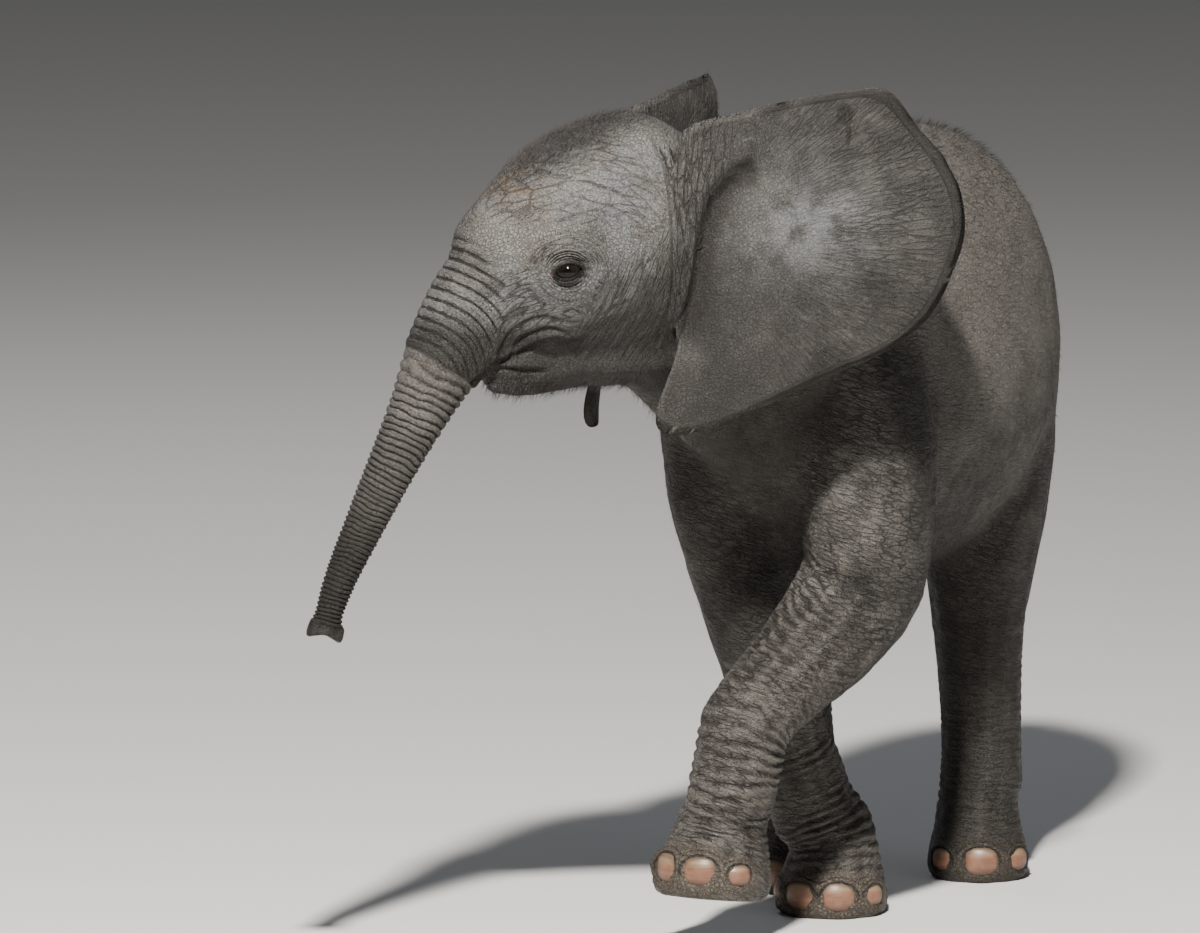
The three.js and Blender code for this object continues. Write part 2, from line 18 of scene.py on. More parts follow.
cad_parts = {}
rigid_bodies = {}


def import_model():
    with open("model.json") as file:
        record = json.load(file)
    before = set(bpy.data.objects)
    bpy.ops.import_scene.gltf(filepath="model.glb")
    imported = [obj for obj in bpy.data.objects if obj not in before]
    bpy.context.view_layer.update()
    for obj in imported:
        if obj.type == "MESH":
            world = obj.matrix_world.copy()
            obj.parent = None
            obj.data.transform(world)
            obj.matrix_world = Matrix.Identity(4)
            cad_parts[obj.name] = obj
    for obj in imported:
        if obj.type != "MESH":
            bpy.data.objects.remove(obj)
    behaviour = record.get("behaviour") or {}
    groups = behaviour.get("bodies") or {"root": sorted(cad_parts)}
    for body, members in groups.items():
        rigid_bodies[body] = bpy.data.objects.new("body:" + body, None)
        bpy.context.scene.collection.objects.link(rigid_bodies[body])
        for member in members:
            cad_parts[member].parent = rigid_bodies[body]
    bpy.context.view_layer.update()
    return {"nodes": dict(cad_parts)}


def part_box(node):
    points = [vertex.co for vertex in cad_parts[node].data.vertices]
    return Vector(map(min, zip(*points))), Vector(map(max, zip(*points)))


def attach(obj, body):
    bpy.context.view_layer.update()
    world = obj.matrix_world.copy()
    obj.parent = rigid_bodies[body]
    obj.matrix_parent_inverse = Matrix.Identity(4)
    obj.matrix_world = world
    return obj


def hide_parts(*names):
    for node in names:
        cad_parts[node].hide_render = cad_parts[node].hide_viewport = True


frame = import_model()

NODES = frame["nodes"]
UP = Vector((0, 0, 1))

# %% [markdown]
# The camera comes first, so that every later step can be judged in a render. It stands far off with a long
# lens, as a shy animal is watched, so the calf keeps its true proportions.

# %% Camera
VIEW_TURN = math.radians(20)  # from straight ahead towards the calf's left side
VIEW_RISE = math.radians(7.5)
VIEW_DISTANCE = 15
AIM = Vector((-0.1574, -0.1065, 0.5652))
LENS = 369  # in millimetres, on a sensor of the next width
SENSOR_WIDTH = 36


def towards(turn, rise):
    """The direction from the calf to something at that turn and height."""
    return Vector((math.sin(turn) * math.cos(rise), -math.cos(turn) * math.cos(rise), math.sin(rise)))


camera = bpy.data.objects.new("camera", bpy.data.cameras.new("camera"))
bpy.context.scene.collection.objects.link(camera)
camera.location = AIM + towards(VIEW_TURN, VIEW_RISE) * VIEW_DISTANCE
camera.rotation_euler = (AIM - camera.location).to_track_quat("-Z", "Y").to_euler()
camera.data.lens = LENS
camera.data.sensor_width = SENSOR_WIDTH
camera.data.clip_end = 4 * VIEW_DISTANCE
bpy.context.scene.camera = camera
print("camera at", camera.location[:])

# %% [markdown]
# A turned head is awkward to work on in world axes. Its own axes come from the frame: the two eyes give the
# way across, and a point on the head is then told as so far left, so far forward and so far up.

# %% The head's own axes
EYE_AHEAD = 0.086
EYE_DOWN = 0.012
EYE_RADIUS = 0.017


def middle(node):
    """The middle of a node's box."""
    low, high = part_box(node)
    return (low + high) / 2


LEFT = (middle("eye_left") - middle("eye_right")).normalized()
FORWARD = LEFT.cross(UP)
HEAD = (middle("eye_left") + middle("eye_right")) / 2 - FORWARD * EYE_AHEAD + UP * EYE_DOWN
HEAD_TURN = Matrix((LEFT, FORWARD, UP)).transposed().to_4x4()


def in_head(left, forward, up):
    """A place told in the head's axes."""
    return HEAD + LEFT * left + FORWARD * forward + UP * up


def head_axes(points):
    """How far left, forward and up of the head's middle an array of points lies."""
    away = points - np.array(HEAD)
    return away @ np.array(LEFT), away @ np.array(FORWARD), away[:, 2]


def ease(x, low, high):
    """Runs smoothly from 0 at low to 1 at high."""
    t = np.clip((np.asarray(x, float) - low) / (high - low), 0, 1)
    return t * t * (3 - 2 * t)


print("head at", HEAD[:], "looking along", FORWARD[:])

# %% [markdown]
# ## One skin
# A skin over many solids could be sewn by hand, or each solid could be wrapped. Voxel remeshing is the
# quicker way: it fills space with small cubes and keeps only the outer surface, so the thin cuts close.
# Nails and eyes go in as well, which leaves no pits where they will sit. The ears wait, because cubes of
# this size would chew up their thin rims.

# %% Join copies of the solids and remesh them
VOXEL = 0.0055
MOUTH_FLOOR = (0, 0.112, -0.128)  # closes the gap between the jaw and the trunk, deep in the mouth
MOUTH_FLOOR_SIZE = (0.036, 0.050, 0.026)


def merged_copy(node):
    """A copy of a node's mesh with its loose triangles joined."""
    copy = bmesh.new()
    copy.from_mesh(NODES[node].data)
    bmesh.ops.remove_doubles(copy, verts=copy.verts, dist=2e-5)
    return copy


def object_from(bm, name):
    """A new object with that bmesh as its mesh."""
    mesh = bpy.data.meshes.new(name)
    bm.to_mesh(mesh)
    bm.free()
    made = bpy.data.objects.new(name, mesh)
    bpy.context.scene.collection.objects.link(made)
    return made


def gathered(nodes):
    """One mesh of several nodes' copies, and the name of each face's node."""
    whole, names = bmesh.new(), []
    for node in nodes:
        piece = merged_copy(node)
        piece_mesh = bpy.data.meshes.new(node + "_copy")
        piece.to_mesh(piece_mesh)
        piece.free()
        whole.from_mesh(piece_mesh)
        names += [node] * len(piece_mesh.polygons)
        bpy.data.meshes.remove(piece_mesh)
    return whole, names


def shade_smooth(mesh):
    """Shade all faces smooth."""
    for polygon in mesh.polygons:
        polygon.use_smooth = True


def apply_modifiers(made):
    """Replace an object's mesh by what its modifiers make of it."""
    view = bpy.context.evaluated_depsgraph_get()
    mesh = bpy.data.meshes.new_from_object(made.evaluated_get(view))
    made.modifiers.clear()
    made.data = mesh


def remeshed(made, voxel):
    """Remesh an object with cubes of that size."""
    remesh = made.modifiers.new("voxels", "REMESH")
    remesh.mode = "VOXEL"
    remesh.voxel_size = voxel
    apply_modifiers(made)


EARS = ("ear_left", "ear_right")
BODY_NODES = [name for name in NODES if name not in EARS + ("tail_tuft",)]
FLESH = [name for name in NODES if not name.startswith(("eye", "nail", "tail_tuft"))]
whole, owner_names = gathered(BODY_NODES)
solids = BVHTree.FromBMesh(whole)
bmesh.ops.create_uvsphere(
    whole, u_segments=24, v_segments=16, radius=1.0,
    matrix=Matrix.Translation(in_head(*MOUTH_FLOOR)) @ HEAD_TURN @ Matrix.Diagonal((*MOUTH_FLOOR_SIZE, 1)))
skin = object_from(whole, "skin")
remeshed(skin, VOXEL)
print("remeshed body:", len(skin.data.polygons), "faces")

# %% [markdown]
# Every later step asks where a mesh's vertices are and what lies round them. Loops over them are slow, so
# these helpers hand a whole mesh over as arrays.

# %% A mesh as arrays


def places_of(mesh):
    """A mesh's vertices as an array."""
    flat = np.empty(len(mesh.vertices) * 3)
    mesh.vertices.foreach_get("co", flat)
    return flat.reshape(-1, 3)


def normals_of(mesh):
    """The directions a mesh's vertices face, as an array."""
    flat = np.empty(len(mesh.vertices) * 3)
    mesh.vertices.foreach_get("normal", flat)
    return flat.reshape(-1, 3)


def edges_of(mesh):
    """A mesh's edges as an array of vertex pairs."""
    flat = np.empty(len(mesh.edges) * 2, int)
    mesh.edges.foreach_get("vertices", flat)
    return flat.reshape(-1, 2)


def put_places(mesh, places):
    """Move a mesh's vertices."""
    mesh.vertices.foreach_set("co", np.asarray(places).ravel())
    mesh.update()


def neighbour_mean(values, edges):
    """For each vertex, the mean of what its neighbours have."""
    values = values.reshape(len(values), -1)
    count = np.maximum(np.bincount(edges.ravel(), minlength=len(values)), 1)
    total = np.empty(values.shape)
    for k in range(values.shape[1]):
        total[:, k] = np.bincount(edges[:, 0], values[edges[:, 1], k], len(values))
        total[:, k] += np.bincount(edges[:, 1], values[edges[:, 0], k], len(values))
    return total / count[:, None]


def softened(mask, edges, rounds):
    """A mask with its border spread over a few vertices."""
    mask = np.asarray(mask, float)
    for _ in range(rounds):
        mask = neighbour_mean(mask, edges)[:, 0]
    return mask


print("the body has", len(places_of(skin.data)), "vertices and", len(edges_of(skin.data)), "edges")

# %% [markdown]
# Remeshing leaves small bubbles in the closed cuts and steps on the surface. The bubbles are islands, so
# only the biggest island stays. Plain smoothing would shrink the ears and toes: each round here is followed
# by a slightly stronger one the other way, which takes off the steps and keeps the volume. Where the solids
# have wide flat facets, a longer smoothing takes those away, and what it took from the larger form is added
# back.

# %% Keep the outer shell and smooth it
SMOOTH_SHARE = 0.55  # how far a vertex goes towards its neighbours' middle in one round
SMOOTH_ROUNDS = 16
FACET_ROUNDS = 36


def biggest_island(bm):
    """Delete all but the largest connected part."""
    unseen = set(bm.verts)
    islands = []
    while unseen:
        start = unseen.pop()
        island, front = [start], [start]
        while front:
            here = front.pop()
            for edge in here.link_edges:
                there = edge.other_vert(here)
                if there in unseen:
                    unseen.remove(there)
                    island.append(there)
                    front.append(there)
        islands.append(island)
    islands.sort(key=len)
    for island in islands[:-1]:
        bmesh.ops.delete(bm, geom=island, context="VERTS")


def relaxed(places, edges, rounds, where=1.0, back=1.03):
    """Smooth rounds times, each followed by a push back that keeps the volume."""
    where = np.broadcast_to(where, len(places))[:, None]
    for _ in range(rounds):
        for share in (SMOOTH_SHARE, -SMOOTH_SHARE * back):
            places = places + share * where * (neighbour_mean(places, edges) - places)
    return places


def rounded(places, edges, rounds, where=1.0):
    """Smooth away flat facets, then add back what that took from the larger form."""
    where = np.broadcast_to(where, len(places))[:, None]

    def spread(values):
        for _ in range(rounds):
            values = values + 0.6 * where * (neighbour_mean(values, edges) - values)
        return values
    smooth = spread(places)
    return smooth + spread(places - smooth) * where


def owners(places):
    """The name of the solid nearest to each place."""
    return [owner_names[solids.find_nearest(Vector(p))[2]] for p in places]


def owned_by(starts, owned):
    """Which of the owners' names start with one of these words."""
    return np.array([name.startswith(starts) for name in owned])


shell = bmesh.new()
shell.from_mesh(skin.data)
biggest_island(shell)
shell.to_mesh(skin.data)
shell.free()
skin_edges, skin_places = edges_of(skin.data), places_of(skin.data)
owner = owners(skin_places)
skin_places = relaxed(skin_places, skin_edges, SMOOTH_ROUNDS)
faceted = owned_by(("torso", "neck", "head", "foreleg_upper", "hindleg_upper"), owner)
skin_places = rounded(skin_places, skin_edges, FACET_ROUNDS, softened(faceted, skin_edges, 8))
put_places(skin.data, skin_places)
print("smooth shell:", len(skin.data.polygons), "faces")

# %% [markdown]
# ## Ears
# An ear is a thin sheet that runs out to a sharp rim, which cubes would chew up. It could be modelled again
# from its outline, but its solid already has the right bends, so a copy is subdivided and smoothed. The rim
# is smoothed only along itself, or the sheet would draw it into scallops. A Boolean joins the ear to the
# head: its root is first pushed a little way in, because shapes that only touch don't join.

# %% Smooth the ears and join them on
EAR_CUTS = 3
EAR_ROOT_SINK = 0.007
EAR_ROOT_NEAR = 0.005  # what lies nearer to the head than this is root
RIM_ANGLE = 1.0  # faces that meet at more than this are at the rim
RIM_ROUNDS = 40
SHEET_ROUNDS = 24


def ear_sheet(node):
    """A fine copy of an ear's solid with its root pushed into the head."""
    sheet = merged_copy(node)
    bmesh.ops.subdivide_edges(sheet, edges=sheet.edges, cuts=EAR_CUTS, use_grid_fill=True)
    sheet.normal_update()
    rim = np.array([e.calc_face_angle(0) > RIM_ANGLE for e in sheet.edges])
    made = object_from(sheet, node + "_sheet")
    edges, places = edges_of(made.data), places_of(made.data)
    on_rim = np.zeros(len(places))
    on_rim[edges[rim].ravel()] = 1
    places = relaxed(places, edges[rim], RIM_ROUNDS, on_rim)
    places = rounded(places, edges, SHEET_ROUNDS, 1 - on_rim)
    for k, place in enumerate(places):
        _, _, index, distance = solids.find_nearest(Vector(place))
        if distance < EAR_ROOT_NEAR and not owner_names[index].startswith(("torso", "foreleg")):
            inward = (HEAD - Vector(place)).normalized()
            places[k] += np.array(inward) * EAR_ROOT_SINK
    put_places(made.data, places)
    return made


for node in EARS:
    sheet = ear_sheet(node)
    join = skin.modifiers.new("join", "BOOLEAN")
    join.operation = "UNION"
    join.solver = "MANIFOLD"
    join.object = sheet
    apply_modifiers(skin)
    print(node, "joined:", len(sheet.data.polygons), "faces, skin now", len(skin.data.polygons))
    bpy.data.objects.remove(sheet)

# %% [markdown]
# The barrel of the body is plain and needs few faces, the face and the trunk need many. The Decimate
# modifier thins only the vertices of a group, so the budget goes where the folds will be.

# %% Thin the plain parts
KEPT_SHARES = (  # the share of its faces that each region keeps
    (("torso", "neck"), 0.17), (("hindleg_upper", "foreleg_upper"), 0.26), (("head", "lower_jaw"), 0.66))
both_ears, _ = gathered(EARS)
ear_solids = BVHTree.FromBMesh(both_ears)
both_ears.free()


def nearness(tree, places, reach):
    """How near a surface each place is: 1 on it, 0 at the reach and beyond."""
    found = [tree.find_nearest(Vector(p), reach)[3] for p in places]
    return np.array([1 - distance / reach if distance is not None else 0.0 for distance in found])


def near_ears(places, reach=0.006, least=0.2):
    """Which places lie on the ears' solids."""
    return nearness(ear_solids, places, reach) > least


skin_places = places_of(skin.data)
owner = owners(skin_places)
on_ear = near_ears(skin_places)
group = skin.vertex_groups.new(name="plain")
kept = 1.0
for starts, share in KEPT_SHARES:
    mine = owned_by(starts, owner) & ~on_ear
    group.add([int(i) for i in np.flatnonzero(mine)], 1 - share, "REPLACE")
    kept -= mine.mean() * (1 - share)
thin = skin.modifiers.new("thin", "DECIMATE")
thin.ratio = kept
thin.vertex_group = "plain"
apply_modifiers(skin)
skin.vertex_groups.clear()
print("thinned skin:", sum(len(p.vertices) - 2 for p in skin.data.polygons), "triangles")

# %% [markdown]
# Where an ear meets the head, the Boolean leaves a crease with slivers along it, but skin runs over that
# place without a break. The slivers are dissolved and the crease is smoothed, most over the top of the
# root.

# %% Smooth the ears' roots
SEAM_REACH = 0.004
SLIVER = 0.0008
skin_places = places_of(skin.data)
seam = (nearness(ear_solids, skin_places, SEAM_REACH) > 0) & (nearness(solids, skin_places, SEAM_REACH) > 0)
clean = bmesh.new()
clean.from_mesh(skin.data)
short = [e for e in clean.edges if seam[e.verts[0].index] and seam[e.verts[1].index]]
bmesh.ops.dissolve_degenerate(clean, dist=SLIVER, edges=short)
clean.to_mesh(skin.data)
clean.free()
skin_places, skin_edges = places_of(skin.data), edges_of(skin.data)
on_ear = softened(near_ears(skin_places), skin_edges, 5)
root = np.clip(6 * on_ear * (1 - on_ear), 0, 1)
skin_places = relaxed(skin_places, skin_edges, 12, root, back=0.9)
on_ear = softened(near_ears(skin_places), skin_edges, 18)
saddle = np.clip(5 * on_ear * (1 - on_ear), 0, 1) * ease(head_axes(skin_places)[2], 0.045, 0.085)
skin_places = relaxed(skin_places, skin_edges, 30, saddle, back=0.8)
put_places(skin.data, skin_places)
print("smoothed", int((root > 0.5).sum()), "vertices at the roots and", int((saddle > 0.5).sum()), "above")

# %% [markdown]
# ## Trunk and legs, ring by ring
# A trunk is a stack of rings, and an elephant's legs fold in rings too. Faces that run across such rings
# show steps, so each limb is cut off and grown again: the cut edge is extruded along the limb's middle
# line, one narrow ring at a time, and every new vertex is set on the smooth shell by a ray from the middle
# line.

# %% Middle lines
SLICE_STEP = 0.012
SLICE_HALF = 0.008  # half the thickness of a slice

core_places = places_of(skin.data)
core_owner = owners(core_places)
core = bmesh.new()
core.from_mesh(skin.data)
surface = BVHTree.FromBMesh(core)
core.free()


def middle_line(starts, way, first, last):
    """The middles of slices square to a direction through the parts whose names start so."""
    mine = core_places[owned_by(starts, core_owner)]
    side = way.orthogonal().normalized()
    square = [np.array(side), np.array(way.cross(side))]
    reach = mine @ np.array(way)
    middles = []
    for level in np.arange(first, last, SLICE_STEP):
        cut = mine[abs(reach - level) < SLICE_HALF]
        spans = [cut @ axis for axis in square]
        middles.append(level * np.array(way) + sum(
            (span.min() + span.max()) / 2 * axis for span, axis in zip(spans, square)))
    middles = np.array(middles)
    for _ in range(3):
        middles[1:-1] = (middles[:-2] + 2 * middles[1:-1] + middles[2:]) / 4
    return middles


class Line:
    """A line through points that tells its place and direction at any length along it."""

    def __init__(self, points):
        self.points = np.array(points)
        steps = np.linalg.norm(np.diff(self.points, axis=0), axis=1)
        self.lengths = np.concatenate([[0], np.cumsum(steps)])
        self.total = self.lengths[-1]

    def place(self, s):
        """The place at length s."""
        return Vector([np.interp(s, self.lengths, self.points[:, k]) for k in range(3)])

    def way(self, s, half=0.014):
        """The direction at length s."""
        return (self.place(min(s + half, self.total)) - self.place(max(s - half, 0))).normalized()


print("middle lines are taken from", len(core_places), "vertices")

# %% [markdown]
# A plane cuts each limb off square to its line. The cut's vertices come back as one loop in order, with
# short edges merged, so that it can be extruded as often as the limb has rings.

# %% Cut a limb off and extrude its edge
RIM_MERGE = 0.0038  # cut edges shorter than this are merged
SEAM_MERGE = 1e-6  # open edges nearer to each other than this are sewn together


def walked(rim):
    """The vertices of a closed open-edged loop, in order once round."""
    members, loop, here, before = set(rim), [], rim[0], None
    while here not in loop[:1]:
        loop.append(here)
        onward = [e.other_vert(here) for e in here.link_edges if e.is_boundary]
        onward = [v for v in onward if v in members and v is not before]
        before, here = here, onward[0]
    return loop


def cut_off(bm, place, way, starts, reach, merge=RIM_MERGE):
    """Cut a limb across at a place, delete what lies beyond, and return the vertices of the cut."""
    def belongs(face):
        here = face.calc_center_median()
        if (here - place).length > reach and (here - place).dot(way) < 0:
            return False
        return owner_names[solids.find_nearest(here)[2]].startswith(starts)
    limb = [face for face in bm.faces if belongs(face)]
    corners = [v for f in limb for v in f.verts]
    sides = [e for f in limb for e in f.edges]
    parts = list(dict.fromkeys(corners + sides + limb))  # a set's order would differ from run to run
    made = bmesh.ops.bisect_plane(
        bm, geom=parts, dist=1e-5, plane_co=place, plane_no=way, clear_outer=True)
    rim = [g for g in made["geom_cut"] if isinstance(g, bmesh.types.BMVert)]
    bmesh.ops.remove_doubles(bm, verts=rim, dist=merge)
    return walked([v for v in rim if v.is_valid and v.is_boundary])


def ring_copy(bm, rim):
    """A closed loop of new vertices where those of a rim are."""
    ring = [bm.verts.new(v.co) for v in rim]
    for k, v in enumerate(ring):
        bm.edges.new((ring[k - 1], v))
    return ring


def turns_of(rim, centre, first, second):
    """A rim in the order of its vertices' turns, those turns, and the even turns nearest to them."""
    turns = np.unwrap([math.atan2((v.co - centre).dot(second), (v.co - centre).dot(first)) for v in rim])
    if turns[-1] < turns[0]:
        rim, turns = rim[::-1], turns[::-1]
    evenly = np.arange(len(rim)) * math.tau / len(rim)
    return rim, turns, evenly + np.mean(turns - evenly)


def grow_ring(bm, ring):
    """Extrude a loop of edges once and return the new loop in the same order."""
    edges = [bm.edges.get((ring[i - 1], ring[i])) for i in range(len(ring))]
    made = bmesh.ops.extrude_edge_only(bm, edges=edges)["geom"]
    new = {g for g in made if isinstance(g, bmesh.types.BMVert)}
    return [next(e.other_vert(v) for e in v.link_edges if e.other_vert(v) in new) for v in ring]


def close_ring(bm, ring):
    """Draw the last loop together into one point."""
    bmesh.ops.pointmerge(bm, verts=ring, merge_co=sum((v.co for v in ring), Vector()) / len(ring))


def in_fixed_order(bm):
    """Sort edges and faces by their lowest vertices: extruding leaves them in a new order at every run."""
    bm.verts.index_update()
    count = len(bm.verts)

    def rank(element):
        number = 0
        for index in sorted(v.index for v in element.verts)[:3]:
            number = number * count + index
        return number
    bm.edges.sort(key=rank)
    bm.faces.sort(key=rank)


def sew_on(bm, part_bm):
    """Put a part into a mesh and sew its open edge to the cut."""
    in_fixed_order(part_bm)
    mesh = bpy.data.meshes.new("part")
    part_bm.to_mesh(mesh)
    part_bm.free()
    bm.from_mesh(mesh)
    bpy.data.meshes.remove(mesh)
    bmesh.ops.remove_doubles(bm, verts=[v for v in bm.verts if v.is_boundary], dist=SEAM_MERGE)


print("cut edges are merged below", 1000 * RIM_MERGE, "mm")

# %% [markdown]
# Each ring needs a centre, a direction and a height for each of its vertices. The first ring is the cut
# edge itself, whose vertices stand where the cut left them, so the angles even out over the first rings.
# What the folds add is a function of how far along and how far round the limb a vertex is.

# %% Grow a limb
SKIN_DEPTH = 0.001  # how far the skin lies inside the solids, under the hair
FAR_OFF = 0.03  # a ray that lands this far from the last ring has passed the limb's own wall
RAY_LENGTH = 0.15
STEEPEST = 0.35  # the most that a limb widens for its length, so that no step is left where two solids meet


def ring_bend(place):
    """How far a ring strays from even, in rings."""
    return 0.5 * noise.noise(place * 22) + 0.25 * noise.noise(place * 60)


class Limb:
    """A tube of rings grown from a cut edge along a line."""

    def __init__(self, rim, line, side, facing=None):
        self.line, self.side, self.facing = line, side, facing
        self.bm = bmesh.new()
        self.along, self.phase = [self.bm.verts.layers.float.new(name) for name in LAYERS]
        centre, first, second = self.frame(0)
        self.ring, self.start, self.even = turns_of(ring_copy(self.bm, rim), centre, first, second)
        self.heights = np.array([(v.co - centre).length for v in self.ring])
        self.reached = 0.0

    def frame(self, s):
        """The centre and the two axes of the ring at length s."""
        way = self.line.way(s)
        if self.facing is not None:
            turned = float(ease(s, self.line.total - 0.10, self.line.total - 0.02))
            way = way.lerp(self.facing, turned).normalized()
        first = (self.side - way * self.side.dot(way)).normalized()
        return self.line.place(s), first, way.cross(first)

    def angles(self, s):
        """How far round each vertex of the ring at length s is."""
        even = float(ease(s, 0, 0.05))
        return self.start * (1 - even) + self.even * even

    def grow(self, s, relief, shrink=0.0, ahead=None, phase=0.0):
        """Add the ring at length s. shrink draws it in, and ahead moves its vertices along the limb."""
        centre, first, second = self.frame(s)
        way = first.cross(second)
        turns = self.angles(s)
        most = STEEPEST * max(s - self.reached, 0)
        self.reached = s
        self.ring = grow_ring(self.bm, self.ring)
        for k, (v, turn) in enumerate(zip(self.ring, turns)):
            spoke = first * math.cos(turn) + second * math.sin(turn)
            hit, _, _, distance = surface.ray_cast(centre, spoke, RAY_LENGTH)
            if hit is not None and abs(distance - self.heights[k]) < FAR_OFF:
                self.heights[k] += min(max(distance - self.heights[k], -most), most)
            v.co = centre + spoke * (self.heights[k] - SKIN_DEPTH)
            bend = ring_bend(v.co)
            v.co += spoke * (relief(s, turn, v.co) - shrink)
            if ahead is not None:
                v.co += way * ahead[k]
            v[self.along], v[self.phase] = s, phase + bend

    def cap(self, shares, rise=lambda share, turn: 0.0):
        """Close the end with loops drawn in by shares."""
        _, first, second = self.frame(self.line.total)
        way = first.cross(second)
        rim = [v.co.copy() for v in self.ring]
        centre = sum(rim, Vector()) / len(rim)
        turns = self.angles(self.line.total)
        for share in shares:
            self.ring = grow_ring(self.bm, self.ring)
            for v, edge, turn in zip(self.ring, rim, turns):
                v.co = centre.lerp(edge, share) + way * rise(share, turn)
        close_ring(self.bm, self.ring)


LAYERS = ("along", "phase")  # how far along its limb a vertex lies, in metres and in rings
skin_mesh = bmesh.new()
skin_mesh.from_mesh(skin.data)
for name in LAYERS:
    skin_mesh.verts.layers.float.new(name)
print("ready to grow limbs on", len(skin_mesh.verts), "vertices")

# %% [markdown]
# The trunk's rings are wide at its root and narrow towards the tip, about fifty in all. Behind, where the
# trunk curls, two rings at a time are drawn into a pleat. The relief is added as the rings are extruded,
# five loops to a ring, so that the faces run with it.

# %% Trunk
TRUNK_CUT = in_head(0, 0.212, -0.132)
TRUNK_TIP = in_head(0, 0.357, -0.441)
RING_WIDTHS = [(0, 0.0138), (0.045, 0.0106), (0.10, 0.0081), (0.18, 0.0063), (0.35, 0.0050)]
RING_STEPS = 5
PLEAT_DEPTH = 0.0024
LIP = 0.010  # the last stretch, which has no rings
trunk_way = (TRUNK_TIP - in_head(0, 0.207, -0.124)).normalized()


def ring_width(s):
    """How wide a ring of the trunk is at length s from the cut."""
    return float(np.interp(s, *zip(*RING_WIDTHS)))


trunk_line = middle_line(
    ("trunk",), trunk_way, trunk_way.dot(TRUNK_CUT), trunk_way.dot(TRUNK_TIP) - 0.012)
trunk_line = Line(list(trunk_line) + [np.array(TRUNK_TIP)])


def valley(phase, width=0.2):
    """1 in the groove between two rings, falling to 0 on the ring."""
    return math.exp(-((phase - round(phase)) / width) ** 2)


def trunk_relief(s, turn, place):
    """How far the rings and pleats stand out. A turn of 0 is the trunk's left side, a quarter its back."""
    phase = trunk_phase + ring_bend(place)
    back = 0.5 + 0.5 * math.cos(turn - BACK_TURN)
    depth = 0.0016 + 0.16 * ring_width(s) * (0.75 + 0.5 * back)
    pleat = PLEAT_DEPTH * back ** 3 * float(ease(s, 0.0, 0.05))
    pleat *= float(ease(-s, -trunk_line.total + 0.02, -trunk_line.total + 0.09))
    pleat_phase = phase / 2 + 0.25
    rounded = 1 - abs(2 * (pleat_phase - round(pleat_phase))) ** 2
    return -depth * valley(phase) + pleat * (0.6 - valley(pleat_phase, 0.16)) * rounded


rim = cut_off(skin_mesh, trunk_line.place(0), trunk_line.way(0), ("trunk",), 0.08)
trunk = Limb(rim, trunk_line, LEFT)
_, first, second = trunk.frame(0.1)
BACK_TURN = math.atan2(-FORWARD.dot(second), -FORWARD.dot(first))
trunk_phase = 0.0
s = 0.0
while s < trunk_line.total - LIP:
    s += ring_width(s) / RING_STEPS
    trunk_phase += 1 / RING_STEPS
    trunk.grow(s, trunk_relief, phase=trunk_phase)
print("trunk:", round(trunk_phase), "rings of", len(rim), "vertices, length", round(trunk_line.total, 3))

# %% [markdown]
# The tip has two lips, like a finger and a thumb, and the nostrils open between them. The last rings bulge
# forwards into the lips, and ever smaller loops close the end, pushed back to a pit on each side.

# %% Tip of the trunk
LIP_RINGS = (  # how far each ring is drawn in, and how far ahead of the line's end it lies
    (0.0002, -0.006), (-0.0004, -0.002), (-0.0006, 0.002), (0.0006, 0.005), (0.0030, 0.0055))
LIP_BULGE = 0.55
TIP_HOLLOW = 0.005
NOSTRIL_DEPTH = 0.012


def lip(turn):
    """How much of a lip the rim has at this turn: 1 in front and behind."""
    front = math.exp(-((math.remainder(turn - BACK_TURN - math.pi, math.tau)) / 0.62) ** 2)
    rear = math.exp(-((math.remainder(turn - BACK_TURN, math.tau)) / 0.72) ** 2)
    return front + 0.8 * rear


def no_relief(s, turn, place):
    """A smooth ring."""
    return 0.0


def nostrils(share, turn):
    """How deep the hollow of the tip is, with a pit each side of the middle."""
    across, upwards = share * math.cos(turn), share * math.sin(turn)
    pit = math.exp(-((abs(across) - 0.42) / 0.26) ** 2 - (upwards / 0.42) ** 2)
    return -TIP_HOLLOW * (1 - share) - NOSTRIL_DEPTH * pit


lips = np.array([lip(t) for t in trunk.angles(trunk_line.total)])
for shrink, past in LIP_RINGS:
    bulge = lips * (past - LIP_RINGS[0][1]) * LIP_BULGE
    trunk.grow(trunk_line.total, no_relief, shrink=shrink, ahead=past + bulge)
trunk.cap((0.9, 0.8, 0.7, 0.6, 0.5, 0.4, 0.3, 0.2, 0.1), nostrils)
sew_on(skin_mesh, trunk.bm)
print("trunk sewn on; the mesh now has", len(skin_mesh.verts), "vertices")

# %% [markdown]
# The legs are grown in the same way from above the wrist or the heel down to the sole. Their folds are less
# even than the trunk's: noise bends them, and lets them fade out and start again. They are deepest where
# the leg bends, and they leave the foot above the nails smooth. The frame's own flat faces say where each
# sole is.

